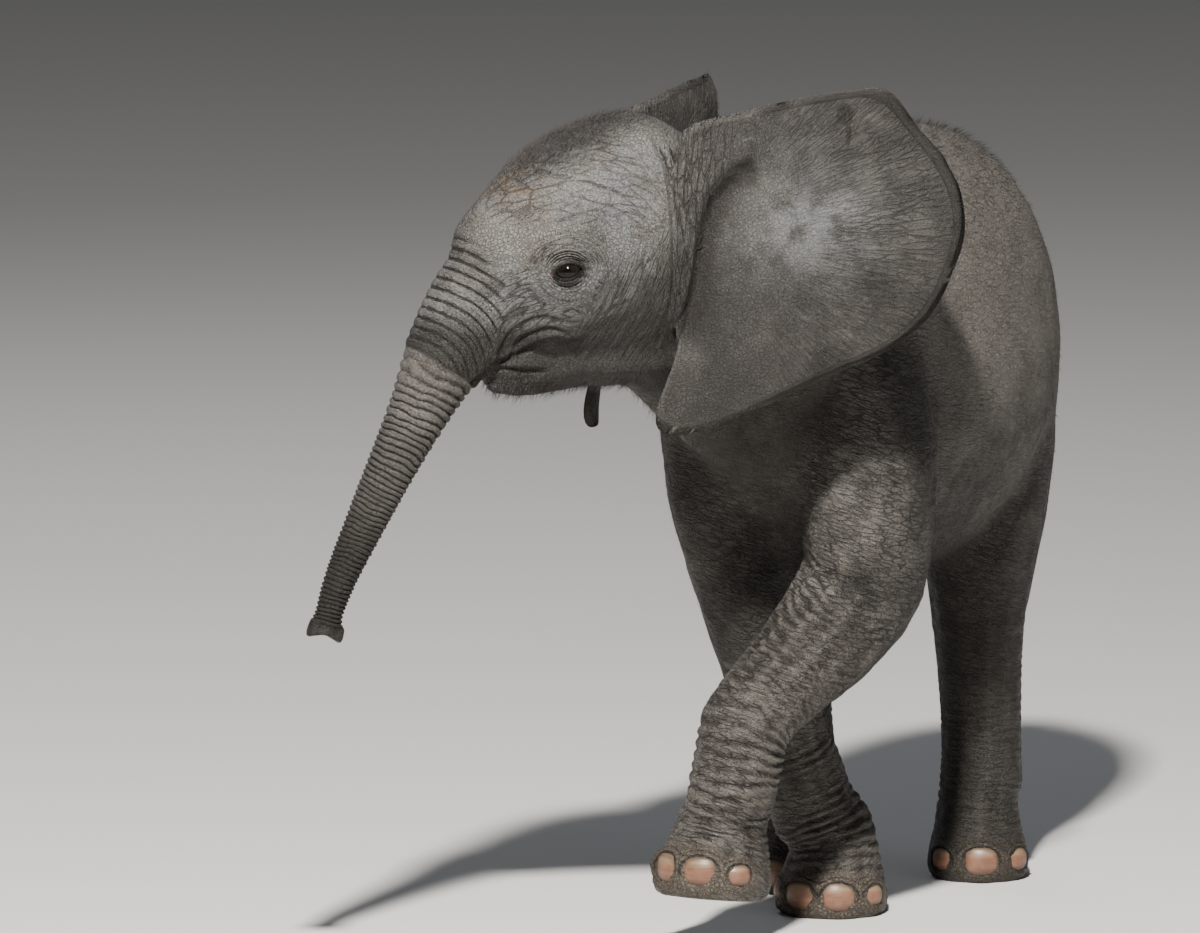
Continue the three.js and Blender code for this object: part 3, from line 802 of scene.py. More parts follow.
# %% Legs
LEG_STEP = 0.0033
HIND_STEP = 1.3 * LEG_STEP
LEG_RIM_MERGE = 0.0055
HIND_FOLDS = [(0.090, 0.045, 0.0030, 0.0120), (0.22, 0.09, 0.0018, 0.012)]
LEGS = {  # how far above the sole the leg is cut, and the folds: (height above the sole, reach, depth, width)
    "foreleg_left": (0.300, [
        (0.165, 0.060, 0.0066, 0.0135), (0.08, 0.040, 0.0034, 0.009), (0.27, 0.05, 0.0024, 0.012)]),
    "foreleg_right": (0.290, [(0.105, 0.060, 0.0066, 0.0135), (0.21, 0.07, 0.0028, 0.012)]),
    "hindleg_left": (0.320, HIND_FOLDS),
    "hindleg_right": (0.320, HIND_FOLDS),
}
SOLE_RINGS = (  # how far above the sole each of the last rings lies, and how far it is drawn in
    (0.006, 0.0006), (0.0035, 0.0016), (0.0015, 0.0032), (0.0, 0.006))


def sole_of(foot):
    """The middle of a foot's flat sole and the way it faces."""
    mesh = NODES[foot].data
    lowest = min(v.co.z for v in mesh.vertices)
    flat = [p for p in mesh.polygons if p.normal.z < -0.95 and p.center.z < lowest + 0.03]
    area = sum(p.area for p in flat)
    place = sum((p.center * p.area for p in flat), Vector()) / area
    return place, sum((p.normal * p.area for p in flat), Vector()).normalized()


def nails_of(leg):
    """The nails' nodes of one leg."""
    start = leg.replace("foreleg", "nail_fore").replace("hindleg", "nail_hind")
    return [name for name in NODES if name.startswith(start)]


def leg_relief(folds, total, seed):
    """The folds of one leg as a function of length, turn and place."""
    shift = Vector((seed, 0, 0))

    def relief(s, turn, place):
        depth = 0.0
        for height, reach, deep, wide in folds:
            share = math.exp(-((total - s - height) / reach) ** 2)
            if share < 0.02:
                continue
            bend = 0.9 * noise.noise(place * 9 + shift) + 0.35 * noise.noise(place * 34 + shift)
            phase = (total - s) / wide + bend
            round_limb = Vector((math.cos(turn), math.sin(turn), phase * 0.35))
            grooved = 0.55 + 0.9 * noise.noise(round_limb * 1.3 + shift)
            depth += deep * share * max(grooved, 0) * (valley(phase, 0.24) - 0.35)
        return -depth
    return relief


for number, (leg, (cut_height, folds)) in enumerate(LEGS.items()):
    lower = leg.replace("leg", "leg_lower", 1)
    foot = leg.replace("leg", "foot")
    sole, facing = sole_of(foot)
    leg_way = (sole - middle(lower)).normalized()
    level = leg_way.dot(sole)
    leg_nails = nails_of(leg)
    names = (lower, foot) + tuple(leg_nails)
    line = Line(list(middle_line(names, leg_way, level - cut_height, level - 0.03)) + [np.array(sole)])
    toes = sum((middle(name) for name in leg_nails), Vector()) / len(leg_nails) - sole
    rim = cut_off(skin_mesh, line.place(0), line.way(0), names, 0.11, LEG_RIM_MERGE)
    grown = Limb(rim, line, toes, facing)
    relief = leg_relief(folds, line.total, 3.1 * number)
    step = LEG_STEP if leg.startswith("fore") else HIND_STEP
    for s in np.arange(step, line.total - 0.008, step):
        grown.grow(float(s), relief)
    for above, shrink in SOLE_RINGS:
        grown.grow(line.total, no_relief, shrink=shrink, ahead=np.full(len(rim), -above))
    grown.cap((0.93, 0.8, 0.6, 0.35, 0.15))
    sew_on(skin_mesh, grown.bm)
    print(leg, "from", len(rim), "vertices over", round(line.total, 3), "m")

# %% [markdown]
# The tail hangs straight down, with small, shallow folds. A cut near its root and plain rings are enough.
# Its end is rounded off and hidden in the brush of hair.

# %% Tail
TAIL_CUT, TAIL_END = 0.70, 0.402  # heights above the floor
TAIL_STEP = 0.004
TAIL_FOLD = 0.009


def tail_relief(s, turn, place):
    """Small folds, bent a little by noise."""
    return -0.0006 * valley(s / TAIL_FOLD + 0.6 * noise.noise(place * 30), 0.25)


tail_line = middle_line(("tail",), -UP, -TAIL_CUT, -TAIL_END - 0.02)
tail_line = Line(list(tail_line) + [tail_line[-1] + (tail_line[-1] - tail_line[-2]) * 1.2])
rim = cut_off(skin_mesh, tail_line.place(0), tail_line.way(0), ("tail",), 0.04)
tail = Limb(rim, tail_line, Vector((1, 0, 0)))
for s in np.arange(TAIL_STEP, tail_line.total, TAIL_STEP):
    tail.grow(float(s), tail_relief)
tail.cap((0.8, 0.5, 0.2), lambda share, turn: 0.004 * (1 - share))
sew_on(skin_mesh, tail.bm)
print("tail:", len(rim), "vertices round, length", round(tail_line.total, 3))

# %% [markdown]
# ## Face
# Wrinkles are finest on the face, so its mesh must be finer than the barrel's. A Subdivision Surface
# modifier would take the whole skin. The bmesh operator takes only the edges in front of the ears.

# %% Finer faces in front
FACE_BEHIND = 0.012  # the fine part starts this far ahead of the head's middle


def ahead_of_middle(place):
    """How far forward of the head's middle a place lies."""
    return (place - HEAD).dot(FORWARD)


limb_layer = skin_mesh.verts.layers.float["along"]
face_edges = [
    e for e in skin_mesh.edges
    if all(ahead_of_middle(v.co) > FACE_BEHIND and v[limb_layer] == 0 for v in e.verts)]
bmesh.ops.subdivide_edges(skin_mesh, edges=face_edges, cuts=1, use_grid_fill=True)
print("fine face from", len(face_edges), "edges")

# %% [markdown]
# ## Eyelids
# A lid is a fold of skin drawn over a ball, and the wrinkles round an eye run in rings. So a disc of skin
# is taken out, and its edge is extruded inwards ring by ring: from a circle on the face to the almond of
# the opening on a ball a little larger than the eye, then over the lid's edge and in behind the eyeball.

# %% The lids' shape
SOCKET_RADIUS = 0.036
LID_RADIUS = EYE_RADIUS + 0.0021  # of the ball that the lids lie on
LID_BLEND = 0.007  # over which the face runs into the lids
RAY_START = 0.08  # how far out the rays start that look for the face
OPENING = {"long": 0.0166, "above": 0.0106, "below": 0.0082, "tilt": math.radians(12)}
LID_FOLDS = {  # where between the face and the opening each fold lies, and how deep it is
    1: ((0.91, 0.0016), (0.81, 0.0023), (0.70, 0.0021), (0.58, 0.0020), (0.45, 0.0016), (0.30, 0.0011)),
    -1: ((0.90, 0.0013), (0.78, 0.0020), (0.65, 0.0019), (0.51, 0.0016), (0.36, 0.0010)),
}


class Eye:
    """An eye's place and axes: out of the head, along the opening towards the trunk, and up."""

    def __init__(self, side):
        self.side = side
        self.node = "eye_left" if side > 0 else "eye_right"
        self.centre = middle(self.node)
        self.out = (LEFT * side * 0.93 + FORWARD * 0.37).normalized()
        flat = (FORWARD - self.out * FORWARD.dot(self.out)).normalized()
        above = (UP - self.out * UP.dot(self.out)).normalized()
        self.along = flat * math.cos(OPENING["tilt"]) - above * math.sin(OPENING["tilt"])
        self.up = above * math.cos(OPENING["tilt"]) + flat * math.sin(OPENING["tilt"])

    def place(self, u, v, h):
        """The place u along the opening, v above it and h out from the eyeball's middle."""
        return self.centre + self.along * u + self.up * v + self.out * h

    def height(self, u, v):
        """How far out the smooth shell lies over u, v."""
        hit, _, _, distance = surface.ray_cast(self.place(u, v, RAY_START), -self.out, 1.5 * RAY_START)
        return RAY_START - distance if hit is not None else EYE_RADIUS


def almond(turn, grow=0.0):
    """A point on the edge of the opening, grown outwards by so much."""
    high = OPENING["above"] if math.sin(turn) > 0 else OPENING["below"]
    slender = abs(math.sin(turn)) ** 0.35
    return (OPENING["long"] + grow) * math.cos(turn), (high + grow) * math.sin(turn) * slender


def lid_height(u, v):
    """How far out the ball under the lids lies over u, v."""
    return math.sqrt(max(LID_RADIUS ** 2 - u ** 2 - v ** 2, 0))


def soft_max(first, second):
    """The larger of two heights, with a smooth change from one to the other."""
    return max(first, second) + max(LID_BLEND - abs(first - second), 0) ** 2 / (4 * LID_BLEND)


def socket_fold(share, turn):
    """The folds of the lids, strongest above and below the eye."""
    upper = 1 if math.sin(turn) > 0 else -1
    level = abs(math.sin(turn)) ** 0.5
    depth = sum(deep * math.exp(-((share - at) / 0.030) ** 2) for at, deep in LID_FOLDS[upper])
    return -depth * (0.45 + 0.55 * level)


eyes = [Eye(1), Eye(-1)]
print("eyes:", [(eye.node, [round(x, 3) for x in eye.centre]) for eye in eyes])

# %% [markdown]
# The mesh has to be closed first, so that the hole for an eye is its only open edge. The lids grow inwards
# from that edge, and their loops run even round the opening although the cut's did not.

# %% Open the eyes
SOCKET_MERGE = 0.0021
SOCKET_RINGS = 28
LID_RINGS = (  # over the lid's edge: how far outside the opening each ring lies, and how far below the lid
    (-0.0003, 0.0002), (-0.0008, 0.0008), (-0.0010, 0.0018), (-0.0010, 0.0034), (-0.002, 0.008))


def open_eye(bm, eye):
    """Cut a disc out of the skin and grow the lids into it."""
    def flat_radius(place):
        away = place - eye.centre
        if away.dot(eye.out) < -0.01:
            return 1.0
        return math.hypot(away.dot(eye.along), away.dot(eye.up))
    inside = [f for f in bm.faces if flat_radius(f.calc_center_median()) < SOCKET_RADIUS]
    bmesh.ops.delete(bm, geom=inside, context="FACES")
    bmesh.ops.remove_doubles(bm, verts=[v for v in bm.verts if v.is_boundary], dist=SOCKET_MERGE)
    rim = walked([v for v in bm.verts if v.is_boundary])
    for v in rim:
        away = v.co - eye.centre
        u, w = away.dot(eye.along), away.dot(eye.up)
        scale = SOCKET_RADIUS / math.hypot(u, w)
        v.co = eye.place(u * scale, w * scale, eye.height(u * scale, w * scale))
    rim, turns, even = turns_of(rim, eye.centre, eye.along, eye.up)
    lids = bmesh.new()
    ring = ring_copy(lids, rim)
    for step in range(1, SOCKET_RINGS + 1):
        share = step / SOCKET_RINGS
        mix = float(ease(share, 0, 0.35))
        ring = grow_ring(lids, ring)
        for v, first, second in zip(ring, turns, even):
            turn = first * (1 - mix) + second * mix
            inner_u, inner_v = almond(turn)
            u = SOCKET_RADIUS * math.cos(turn) * (1 - share) + inner_u * share
            w = SOCKET_RADIUS * math.sin(turn) * (1 - share) + inner_v * share
            sunk = 0.0045 * float(ease(share, 0.25, 0.95))
            height = soft_max(eye.height(u, w) - sunk, lid_height(u, w))
            brow = 0.0016 * max(math.sin(turn), 0) * math.exp(-((share - 0.30) / 0.16) ** 2)
            bag = 0.0006 * max(-math.sin(turn), 0) * math.exp(-((share - 0.45) / 0.14) ** 2)
            v.co = eye.place(u, w, height + brow + bag + socket_fold(share, turn))
    for grow, drop in LID_RINGS:
        ring = grow_ring(lids, ring)
        for v, turn in zip(ring, even):
            u, w = almond(turn, grow)
            v.co = eye.place(u, w, lid_height(u, w) - drop)
    close_ring(lids, ring)
    sew_on(bm, lids)
    print(eye.node, "opened in", len(rim), "steps")


bmesh.ops.holes_fill(skin_mesh, edges=[e for e in skin_mesh.edges if e.is_boundary], sides=0)
for eye in eyes:
    open_eye(skin_mesh, eye)
bmesh.ops.delete(skin_mesh, geom=[e for e in skin_mesh.edges if e.is_wire], context="EDGES")
bmesh.ops.recalc_face_normals(skin_mesh, faces=skin_mesh.faces)
print("open edges:", sum(not e.is_manifold for e in skin_mesh.edges))
skin_mesh.to_mesh(skin.data)
skin_mesh.free()

# %% [markdown]
# The skin is one closed mesh now. Beside each cut the old faces can meet the new rings at a slight bend,
# which a few rounds of smoothing take away.

# %% Smooth over the cuts
CUT_REACH = 0.006  # how far along a limb the smoothing reaches


def stored(name):
    """The numbers kept under that name at the skin's vertices."""
    return np.array([d.value for d in skin.data.attributes[name].data])


skin_places, skin_edges = places_of(skin.data), edges_of(skin.data)
grown_part = stored("along")
cut_near = softened((grown_part > 0) & (grown_part < CUT_REACH), skin_edges, 4)
put_places(skin.data, relaxed(skin_places, skin_edges, 10, np.clip(3 * cut_near, 0, 1), back=0.95))
print("skin:", sum(len(p.vertices) - 2 for p in skin.data.polygons), "triangles")

# %% [markdown]
# ## Wrinkles
# Skin wrinkles across the way it is squeezed, so each region has its own run of lines: rings round the root
# of the trunk, arcs round the corner of the mouth, circles round the eye. A patch says how strong its lines
# are at every vertex, and how far across them and along them the vertex lies. Wide lines move vertices
# here, and the fine ones are left to the material, which reads the same numbers.

# %% Where every vertex lies
for name in ("custom_normal", "sharp_face"):
    if name in skin.data.attributes:
        skin.data.attributes.remove(skin.data.attributes[name])
places, edges = places_of(skin.data), edges_of(skin.data)
left, ahead, high = head_axes(places)
x, y, z = places.T
side = abs(left)
owned = owners(places)
along = stored("along")
on_ear = softened(near_ears(places, 0.005, 0.1) & (along == 0), edges, 3)
bend_wide = np.array([noise.noise(Vector(p) * 14) for p in places])
bend_fine = np.array([noise.noise(Vector(p) * 45) for p in places])
gaps = np.array([noise.noise(Vector(p) * 25 + Vector((7, 0, 0))) for p in places])


def band(values, low, top, soft):
    """1 between low and top, fading out over soft."""
    return ease(values, low - soft, low) * (1 - ease(values, top, top + soft))


def hump(values, centre, width):
    """1 at the middle, falling to 0 over about twice the width."""
    return np.exp(-((values - centre) / width) ** 2)


def polar(point):
    """Distance and angle about a point in the head's side view; 0 is forwards and a quarter is up."""
    return np.hypot(ahead - point[0], high - point[1]), np.arctan2(high - point[1], ahead - point[0])


def part(*starts):
    """1 on the named parts, with a soft border, and 0 on the ears."""
    return softened(owned_by(starts, owned), edges, 4) * (1 - on_ear)


print("wrinkles go on", len(places), "vertices")

# %% [markdown]
# The lines of the face curve round a few points: the front of the trunk, the corner of the mouth, the eye.
# A vertex is told by its distance and angle from each. On the body the lines run level, and on a leg square
# to it.

# %% Regions and directions
TRUNK_FRONT = (0.267, -0.154)  # ahead and up, as are the next four
MOUTH_CORNER = (0.084, -0.125)
EYE_MIDDLE = (EYE_AHEAD, -EYE_DOWN)
BROW_MIDDLE = (0.070, -0.070)
EAR_ROOT = (-0.074, 0.02)
EAR_ROOT_SIDE = 0.097  # how far out the ear's root is
root_far, root_turn = polar(TRUNK_FRONT)
cheek_far, cheek_turn = polar(MOUTH_CORNER)
eye_far, eye_turn = polar(EYE_MIDDLE)
brow_far, brow_turn = polar(BROW_MIDDLE)
ear_back = np.hypot(side - EAR_ROOT_SIDE, ahead - EAR_ROOT[0])
ear_far = np.hypot(ear_back, high - EAR_ROOT[1])
ear_turn = np.arctan2(high - EAR_ROOT[1], ear_back)
root_limit = np.radians(185) - (root_far - 0.07) * math.radians(500)

torso, neck, on_trunk = part("torso"), part("neck"), part("trunk")
forelegs, hindlegs = part("foreleg", "forefoot"), part("hindleg", "hindfoot")
face = part("head", "lower_jaw", "trunk_upper") * (along == 0)
cheek = face * ease(side, 0.012, 0.030)
flatness = abs(normals_of(skin.data) @ np.array(LEFT))
across_body = z + 0.3 * x + 0.1 * y
for leg in LEGS:
    lower, foot = leg.replace("leg", "leg_lower", 1), leg.replace("leg", "foot")
    sole = np.array(sole_of(foot)[0])
    upward = np.array(middle(lower)) - sole
    upward /= np.linalg.norm(upward)
    above_sole = (places - sole) @ upward
    share = part(lower, foot) * (1 - ease(above_sole, 0.16, 0.34))
    knee = sole + 0.25 * upward
    across_body = across_body + share * ((places - knee) @ (upward - np.array([0.3, 0.1, 1.0])))
print("face", int(face.sum()), "vertices, ears", int(on_ear.sum()), "and trunk", int(on_trunk.sum()))

# %% [markdown]
# Each patch has a strength at every vertex and three directions to measure along: across its lines, along
# them, and one that tells the two sides apart. It could be painted, but a formula can be read and changed.
# Where two patches overlap the stronger one wins, and the lines fade out between them.

# %% Patches of lines
EAR_ROOT_FRONT = (  # (up, ahead) of the front edge of an ear's root
    (-0.104, -0.060), (-0.025, -0.082), (0.022, -0.087), (0.066, -0.098), (0.106, -0.152))
past_root = ahead - np.interp(high, *zip(*EAR_ROOT_FRONT))
body_lines = forelegs + 0.9 * hindlegs + 0.7 * neck + 0.55 * torso
temple_bow = ahead + 0.9 * (high - 0.04) ** 2
jaw_slant = ahead + 0.38 * high
PATCHES = {  # strength, across, along, a third direction, width of a line, how many widths long it is
    "trunk root": (
        face * band(root_far, 0.055, 0.185, 0.02)
        * (1 - ease(root_turn, root_limit - 0.25, root_limit)) * 0.9,
        root_far, root_turn * 0.10, left, 0.0062, 4.5),
    "trunk": (ease(along, 0, 0.01) * on_trunk * 0.6, z, x, y, 0.0042, 1.2),
    "cheek": (
        cheek * band(cheek_far, 0.045, 0.120, 0.02) * band(cheek_turn, -0.3, 1.75, 0.3)
        * ease(high, -0.145, -0.130) * 0.95,
        cheek_far, cheek_turn * 0.09, left, 0.0080, 4.5),
    "eye": (
        cheek * (1 - ease(eye_far, 0.040, 0.055)) * 0.9,
        eye_far, eye_turn * 0.03, left, 0.0046, 5.0),
    "jaw": (
        cheek * band(ahead, -0.035, 0.055, 0.02) * ease(high, -0.155, -0.105)
        * (1 - ease(high + ahead, -0.03, 0.07)) * 0.9,
        jaw_slant, high, left, 0.0085, 5.5),
    "temple": (
        cheek * band(ahead, -0.095, -0.045, 0.02) * band(high, -0.10, 0.12, 0.03) * 0.95,
        temple_bow, high, left, 0.0075, 5.0),
    "forehead": (
        face * band(brow_far, 0.115, 0.20, 0.04) * ease(high, 0.0, 0.06) * 0.70,
        brow_far, brow_turn * 0.15, left, 0.0100, 3.2),
    "body": (body_lines, across_body, x, y, 0.0068, 4.0),
    "tail": (part("tail") * (along > 0) * 0.7, z, x, y, 0.0060, 2.0),
    "ear root": (
        on_ear * ease(ahead, -0.150, -0.085) * ease(past_root, 0.0, 0.015) * ease(high, -0.10, -0.04),
        temple_bow, high, left, 0.0078, 4.0),
    "ears": (
        on_ear * ease(ear_far, 0.07, 0.22) * 0.7 * (1 - ease(ahead, -0.19, -0.13)) * ease(flatness, 0.3, 0.6),
        ear_turn * 0.22, ear_far, left * 0, 0.0070, 6.0),
}
strengths = np.array([patch[0] for patch in PATCHES.values()])
ranked = np.sort(strengths, axis=0)
best = strengths.argmax(axis=0)
line_depth = np.clip(3 * (ranked[-1] - ranked[-2]), 0, ranked[-1])  # none where two patches meet
flow = np.zeros((len(places), 3))
for number, (name, (_, across, lengthwise, third, width, stretch)) in enumerate(PATCHES.items()):
    mine = best == number
    flow[mine, 0] = (across / width)[mine]
    flow[mine, 1] = (lengthwise / (width * stretch))[mine] + 9 * number
    flow[mine, 2] = (third / (width * stretch))[mine]
    print(name, int(mine.sum()), end="; ")
print()

# %% [markdown]
# A fold is a narrow groove beside a soft roll. The rolls of the cheek hang over the corner of the mouth,
# and the dark line of the mouth itself starts behind the trunk. Sculpting would give them too. Here each
# fold is a smooth curve through a few points, told in thousandths of a metre ahead and up on the side of
# the head, the same left and right, and every vertex beside it is raised or lowered.

# %% Folds of the face
FOLDS = {  # points (ahead, up), depth of the groove, height of the roll above it, width
    "mouth": ([(198, -161), (178, -147), (160, -137), (140, -136), (115, -139), (84, -139)], 5.5, 0.4, 4.0),
    "lip roll": (
        [(160, -130), (140, -124), (120, -115), (104, -102), (89, -97), (74, -103), (55, -98)],
        4.2, 3.2, 4.2),
    "second roll": ([(136, -126), (131, -106), (118, -90), (102, -82), (86, -86), (68, -96)], 2.2, 1.4, 3.4),
    "third roll": ([(156, -122), (149, -104), (139, -86), (124, -73), (108, -68), (92, -72)], 1.5, 0.9, 3.2),
    "chin": ([(150, -150), (132, -153), (118, -150), (100, -146)], 1.6, 0.4, 3.5),
    "brow crack": ([(128, 88), (105, 104), (84, 98), (62, 93), (36, 84), (8, 72)], 0.9, 0.3, 2.8),
    "brow crack 2": ([(108, 74), (80, 80), (52, 68), (24, 62)], 0.6, 0.2, 2.6),
    "temple 1": ([(-40, 130), (-46, 100), (-50, 66), (-55, 36), (-52, 0)], 1.7, 0.7, 3.2),
    "temple 2": ([(-56, 126), (-62, 92), (-68, 50), (-64, 10), (-58, -20)], 2.0, 0.8, 3.2),
    "temple 3": ([(-72, 100), (-78, 60), (-80, 18), (-72, -24), (-62, -60)], 2.4, 1.0, 3.6),
    "ear fold": ([(-90, 22), (-84, -2), (-76, -30), (-68, -62), (-56, -95)], 3.2, 1.4, 4.2),
    "jowl": ([(-44, -20), (-38, -50), (-34, -80), (-30, -108)], 1.4, 0.6, 3.2),
}


def smooth_curve(points, count=60):
    """A curve through points, as a fine polyline in metres."""
    points = np.array(points, float) / 1000
    for _ in range(4):
        cut = np.empty((2 * len(points), 2))
        cut[0], cut[-1] = points[0], points[-1]
        cut[1:-1:2] = 0.75 * points[:-1] + 0.25 * points[1:]
        cut[2:-1:2] = 0.25 * points[:-1] + 0.75 * points[1:]
        points = cut
    steps = np.linspace(0, len(points) - 1, count)
    return np.stack([np.interp(steps, np.arange(len(points)), points[:, k]) for k in (0, 1)], axis=1)


def beside(curve):
    """How far above the curve each vertex lies in the side view, and how near the curve's ends it is."""
    flat = np.stack([ahead, high], axis=1)
    away = flat[:, None, :] - curve[None]
    nearest = np.linalg.norm(away, axis=2).argmin(axis=1)
    way = np.gradient(curve, axis=0)[nearest]
    way /= np.linalg.norm(way, axis=1)[:, None]
    off = flat - curve[nearest]
    above = off[:, 1] * way[:, 0] - off[:, 0] * way[:, 1]
    above *= np.where(curve[0, 0] > curve[-1, 0], -1, 1)
    share = nearest / (len(curve) - 1)
    gap = np.linalg.norm(off, axis=1)
    return above, gap, np.minimum(ease(share, 0, 0.12), 1 - ease(share, 0.82, 1.0))


JAW_TUCK = 0.020
tucked = face * (1 - ease(high - 0.10 * ahead, -0.185, -0.130)) * ease(side, 0.0, 0.035)
tucked = tucked * band(ahead, -0.02, 0.10, 0.05)
places = places - np.array(LEFT) * (np.sign(left) * JAW_TUCK * tucked)[:, None]  # the jaw turns under
height = np.zeros(len(places))  # how far the folds raise each vertex, moved once they are all known
for name, (points, groove, roll, width) in FOLDS.items():
    above, gap, ends = beside(smooth_curve(points))
    above = above + 0.0012 * bend_fine
    width /= 1000
    fold = -groove * hump(gap, 0, width)
    fold += roll * hump(above, 1.9 * width, 1.5 * width) * (gap < 5 * width)
    height += fold / 1000 * ends * cheek * ease(eye_far, SOCKET_RADIUS - 0.0001, SOCKET_RADIUS)
print("folds of the face from", round(1000 * height.min(), 1), "to", round(1000 * height.max(), 1), "mm")

# %% [markdown]
# Between the head and the ear's root there is a deep pocket, and over it the root stands out in a soft
# roll. Both follow one line down the head, as folds do, but they move the skin sideways.

# %% The pocket in front of the ear
POCKET_DEPTH = 0.0120
OVERHANG = 0.0070
ROOT_LINE = [(-152, 106), (-122, 94), (-98, 66), (-87, 22), (-82, -25), (-73, -70), (-60, -104)]
root_curve = smooth_curve(ROOT_LINE)
_, gap, ends = beside(root_curve)
in_front = ahead - np.interp(high, root_curve[::-1, 1], root_curve[::-1, 0])
at_root = ends * ease(side, 0.07, 0.09) * band(high, -0.115, 0.13, 0.02)
pocket = hump(gap, 0, 0.0085 + 0.007 * ease(high, -0.03, 0.07)) * at_root
overhang = hump(gap, 0.015, 0.011) * at_root * ease(in_front, -0.002, 0.006) * ease(high, -0.02, 0.04)
outward = np.sign(left) * (OVERHANG * overhang - POCKET_DEPTH * pocket)
places = places + np.array(LEFT) * outward[:, None]
print("pocket:", int((pocket > 0.5).sum()), "vertices")

# %% [markdown]
# The wide lines come next: rings round the trunk's root, which run on from the trunk's own, and looser
# grooves on the cheek, neck and upper legs. They move the mesh, as a texture has no outline. Noise bends
# them and breaks them up, and low lumps lie between them.

# %% Wide lines
ROOT_SPACING = 0.0128
LUMP_HEIGHT = 0.0007
EAR_WAVE = 0.0016


def rings(phase, wide=0.2):
    """1 in the grooves between rings, told by how many rings from the start."""
    return hump(phase, np.round(phase), wide)


root_phase = root_far / ROOT_SPACING + 0.22 * bend_wide + 0.06 * bend_fine
height -= 0.0019 * PATCHES["trunk root"][0] * rings(root_phase) * ease(root_turn, 1.4, 1.7)
upper_leg = part("foreleg") * ease(z, 0.28, 0.34)
GROOVES = (  # where, depth, across, spacing, bends wide and fine, width in spacings, what the gaps leave
    (PATCHES["cheek"][0], 0.0007, cheek_far, 0.0105, 0.5, 0.2, 0.26, 0.6 + 0.8 * gaps),
    (PATCHES["jaw"][0], 0.0008, jaw_slant, 0.0125, 0.5, 0.2, 0.25, 0.5 + gaps),
    (PATCHES["temple"][0], 0.0009, temple_bow, 0.010, 0.5, 0.2, 0.25, 0.7 + gaps),
    (neck, 0.0018, y + 0.3 * z, 0.024, 0.6, 0.0, 0.22, np.clip(0.6 + 1.5 * gaps, 0, 1)),
    (upper_leg, 0.0024, z + 0.6 * x, 0.015, 0.9, 0.3, 0.24, np.clip(0.3 + 1.6 * gaps, 0, 1)),
)
for strength, deep, across, spacing, wide_bend, fine_bend, wide, kept in GROOVES:
    line_phase = across / spacing + wide_bend * bend_wide + fine_bend * bend_fine
    height -= deep * strength * rings(line_phase, wide) * kept
ear_phase = ear_turn * 7 + 1.6 * bend_wide
height += on_ear * EAR_WAVE * ease(ear_far, 0.12, 0.22) * np.cos(ear_phase * math.tau / 2) * (0.5 + gaps)
lump = np.array([noise.noise(Vector(p) * 30 + Vector((0, 3, 0))) for p in places])
height += LUMP_HEIGHT * lump * (1 - on_ear) * (along == 0)
print("with the wide lines from", round(1000 * height.min(), 1), "to", round(1000 * height.max(), 1), "mm")

# %% [markdown]
# Every toe bulges behind its nail, and the skin makes a rim round the nail with a bed under it. The nails'
# own nodes say where: each has axes across it, up it and out of it, and half sizes along them.

# %% Toes
CUTICLE = 0.0036
BED = 0.0055
TOE_BULGE = 0.0042


class Nail:
    """A toenail's middle, half sizes and axes: across the toe, up the nail and out of it."""

    def __init__(self, name):
        own = places_of(NODES[name].data)
        self.name = name
        self.centre = own.mean(axis=0)
        foot = name.replace("nail_fore", "forefoot").replace("nail_hind", "hindfoot")[:-2]
        away = self.centre - np.array(middle(foot))
        self.out = np.array([away[0], away[1], 0.0]) / math.hypot(away[0], away[1])
        self.across = np.cross([0, 0, 1.0], self.out)
        self.up = np.cross(self.out, self.across)
        spans = [np.ptp(own @ axis) / 2 for axis in (self.across, self.up, self.out)]
        self.wide, self.tall, self.thick = spans

    def local(self, points):
        """The places told in the nail's axes, each divided by its half size."""
        away = points - self.centre
        return away @ self.across / self.wide, away @ self.up / self.tall, away @ self.out / self.thick


NAILS = [Nail(name) for name in sorted(NODES) if name.startswith("nail")]
toe_far = np.full(len(places), 4.0)  # how far from the middle of the nearest nail, in nails
toe_top = np.zeros(len(places))  # 1 above a nail and 0 below it
for nail in NAILS:
    u, v, w = nail.local(places)
    far = np.hypot(u, v)
    near = (far < 3.5) & (abs(w) < 5)
    toe_top = np.where(near & (far < toe_far), ease(v, -0.6, 0.3), toe_top)
    toe_far = np.where(near, np.minimum(toe_far, far), toe_far)
    cuticle = CUTICLE * hump(far, 1.36, 0.20) * (0.45 + 0.55 * ease(v, -0.4, 0.5))
    bed = -BED * (1 - ease(far, 0.84, 1.10))
    toe = TOE_BULGE * hump(far, 0, 1.9)
    height += np.where(near, cuticle + bed + toe, 0)
places = places + normals_of(skin.data) * height[:, None]
places[:, 2] = np.maximum(places[:, 2], 0)  # the soles stay on the floor
put_places(skin.data, places)
shade_smooth(skin.data)
print("all folds from", round(1000 * height.min(), 1), "to", round(1000 * height.max(), 1), "mm")
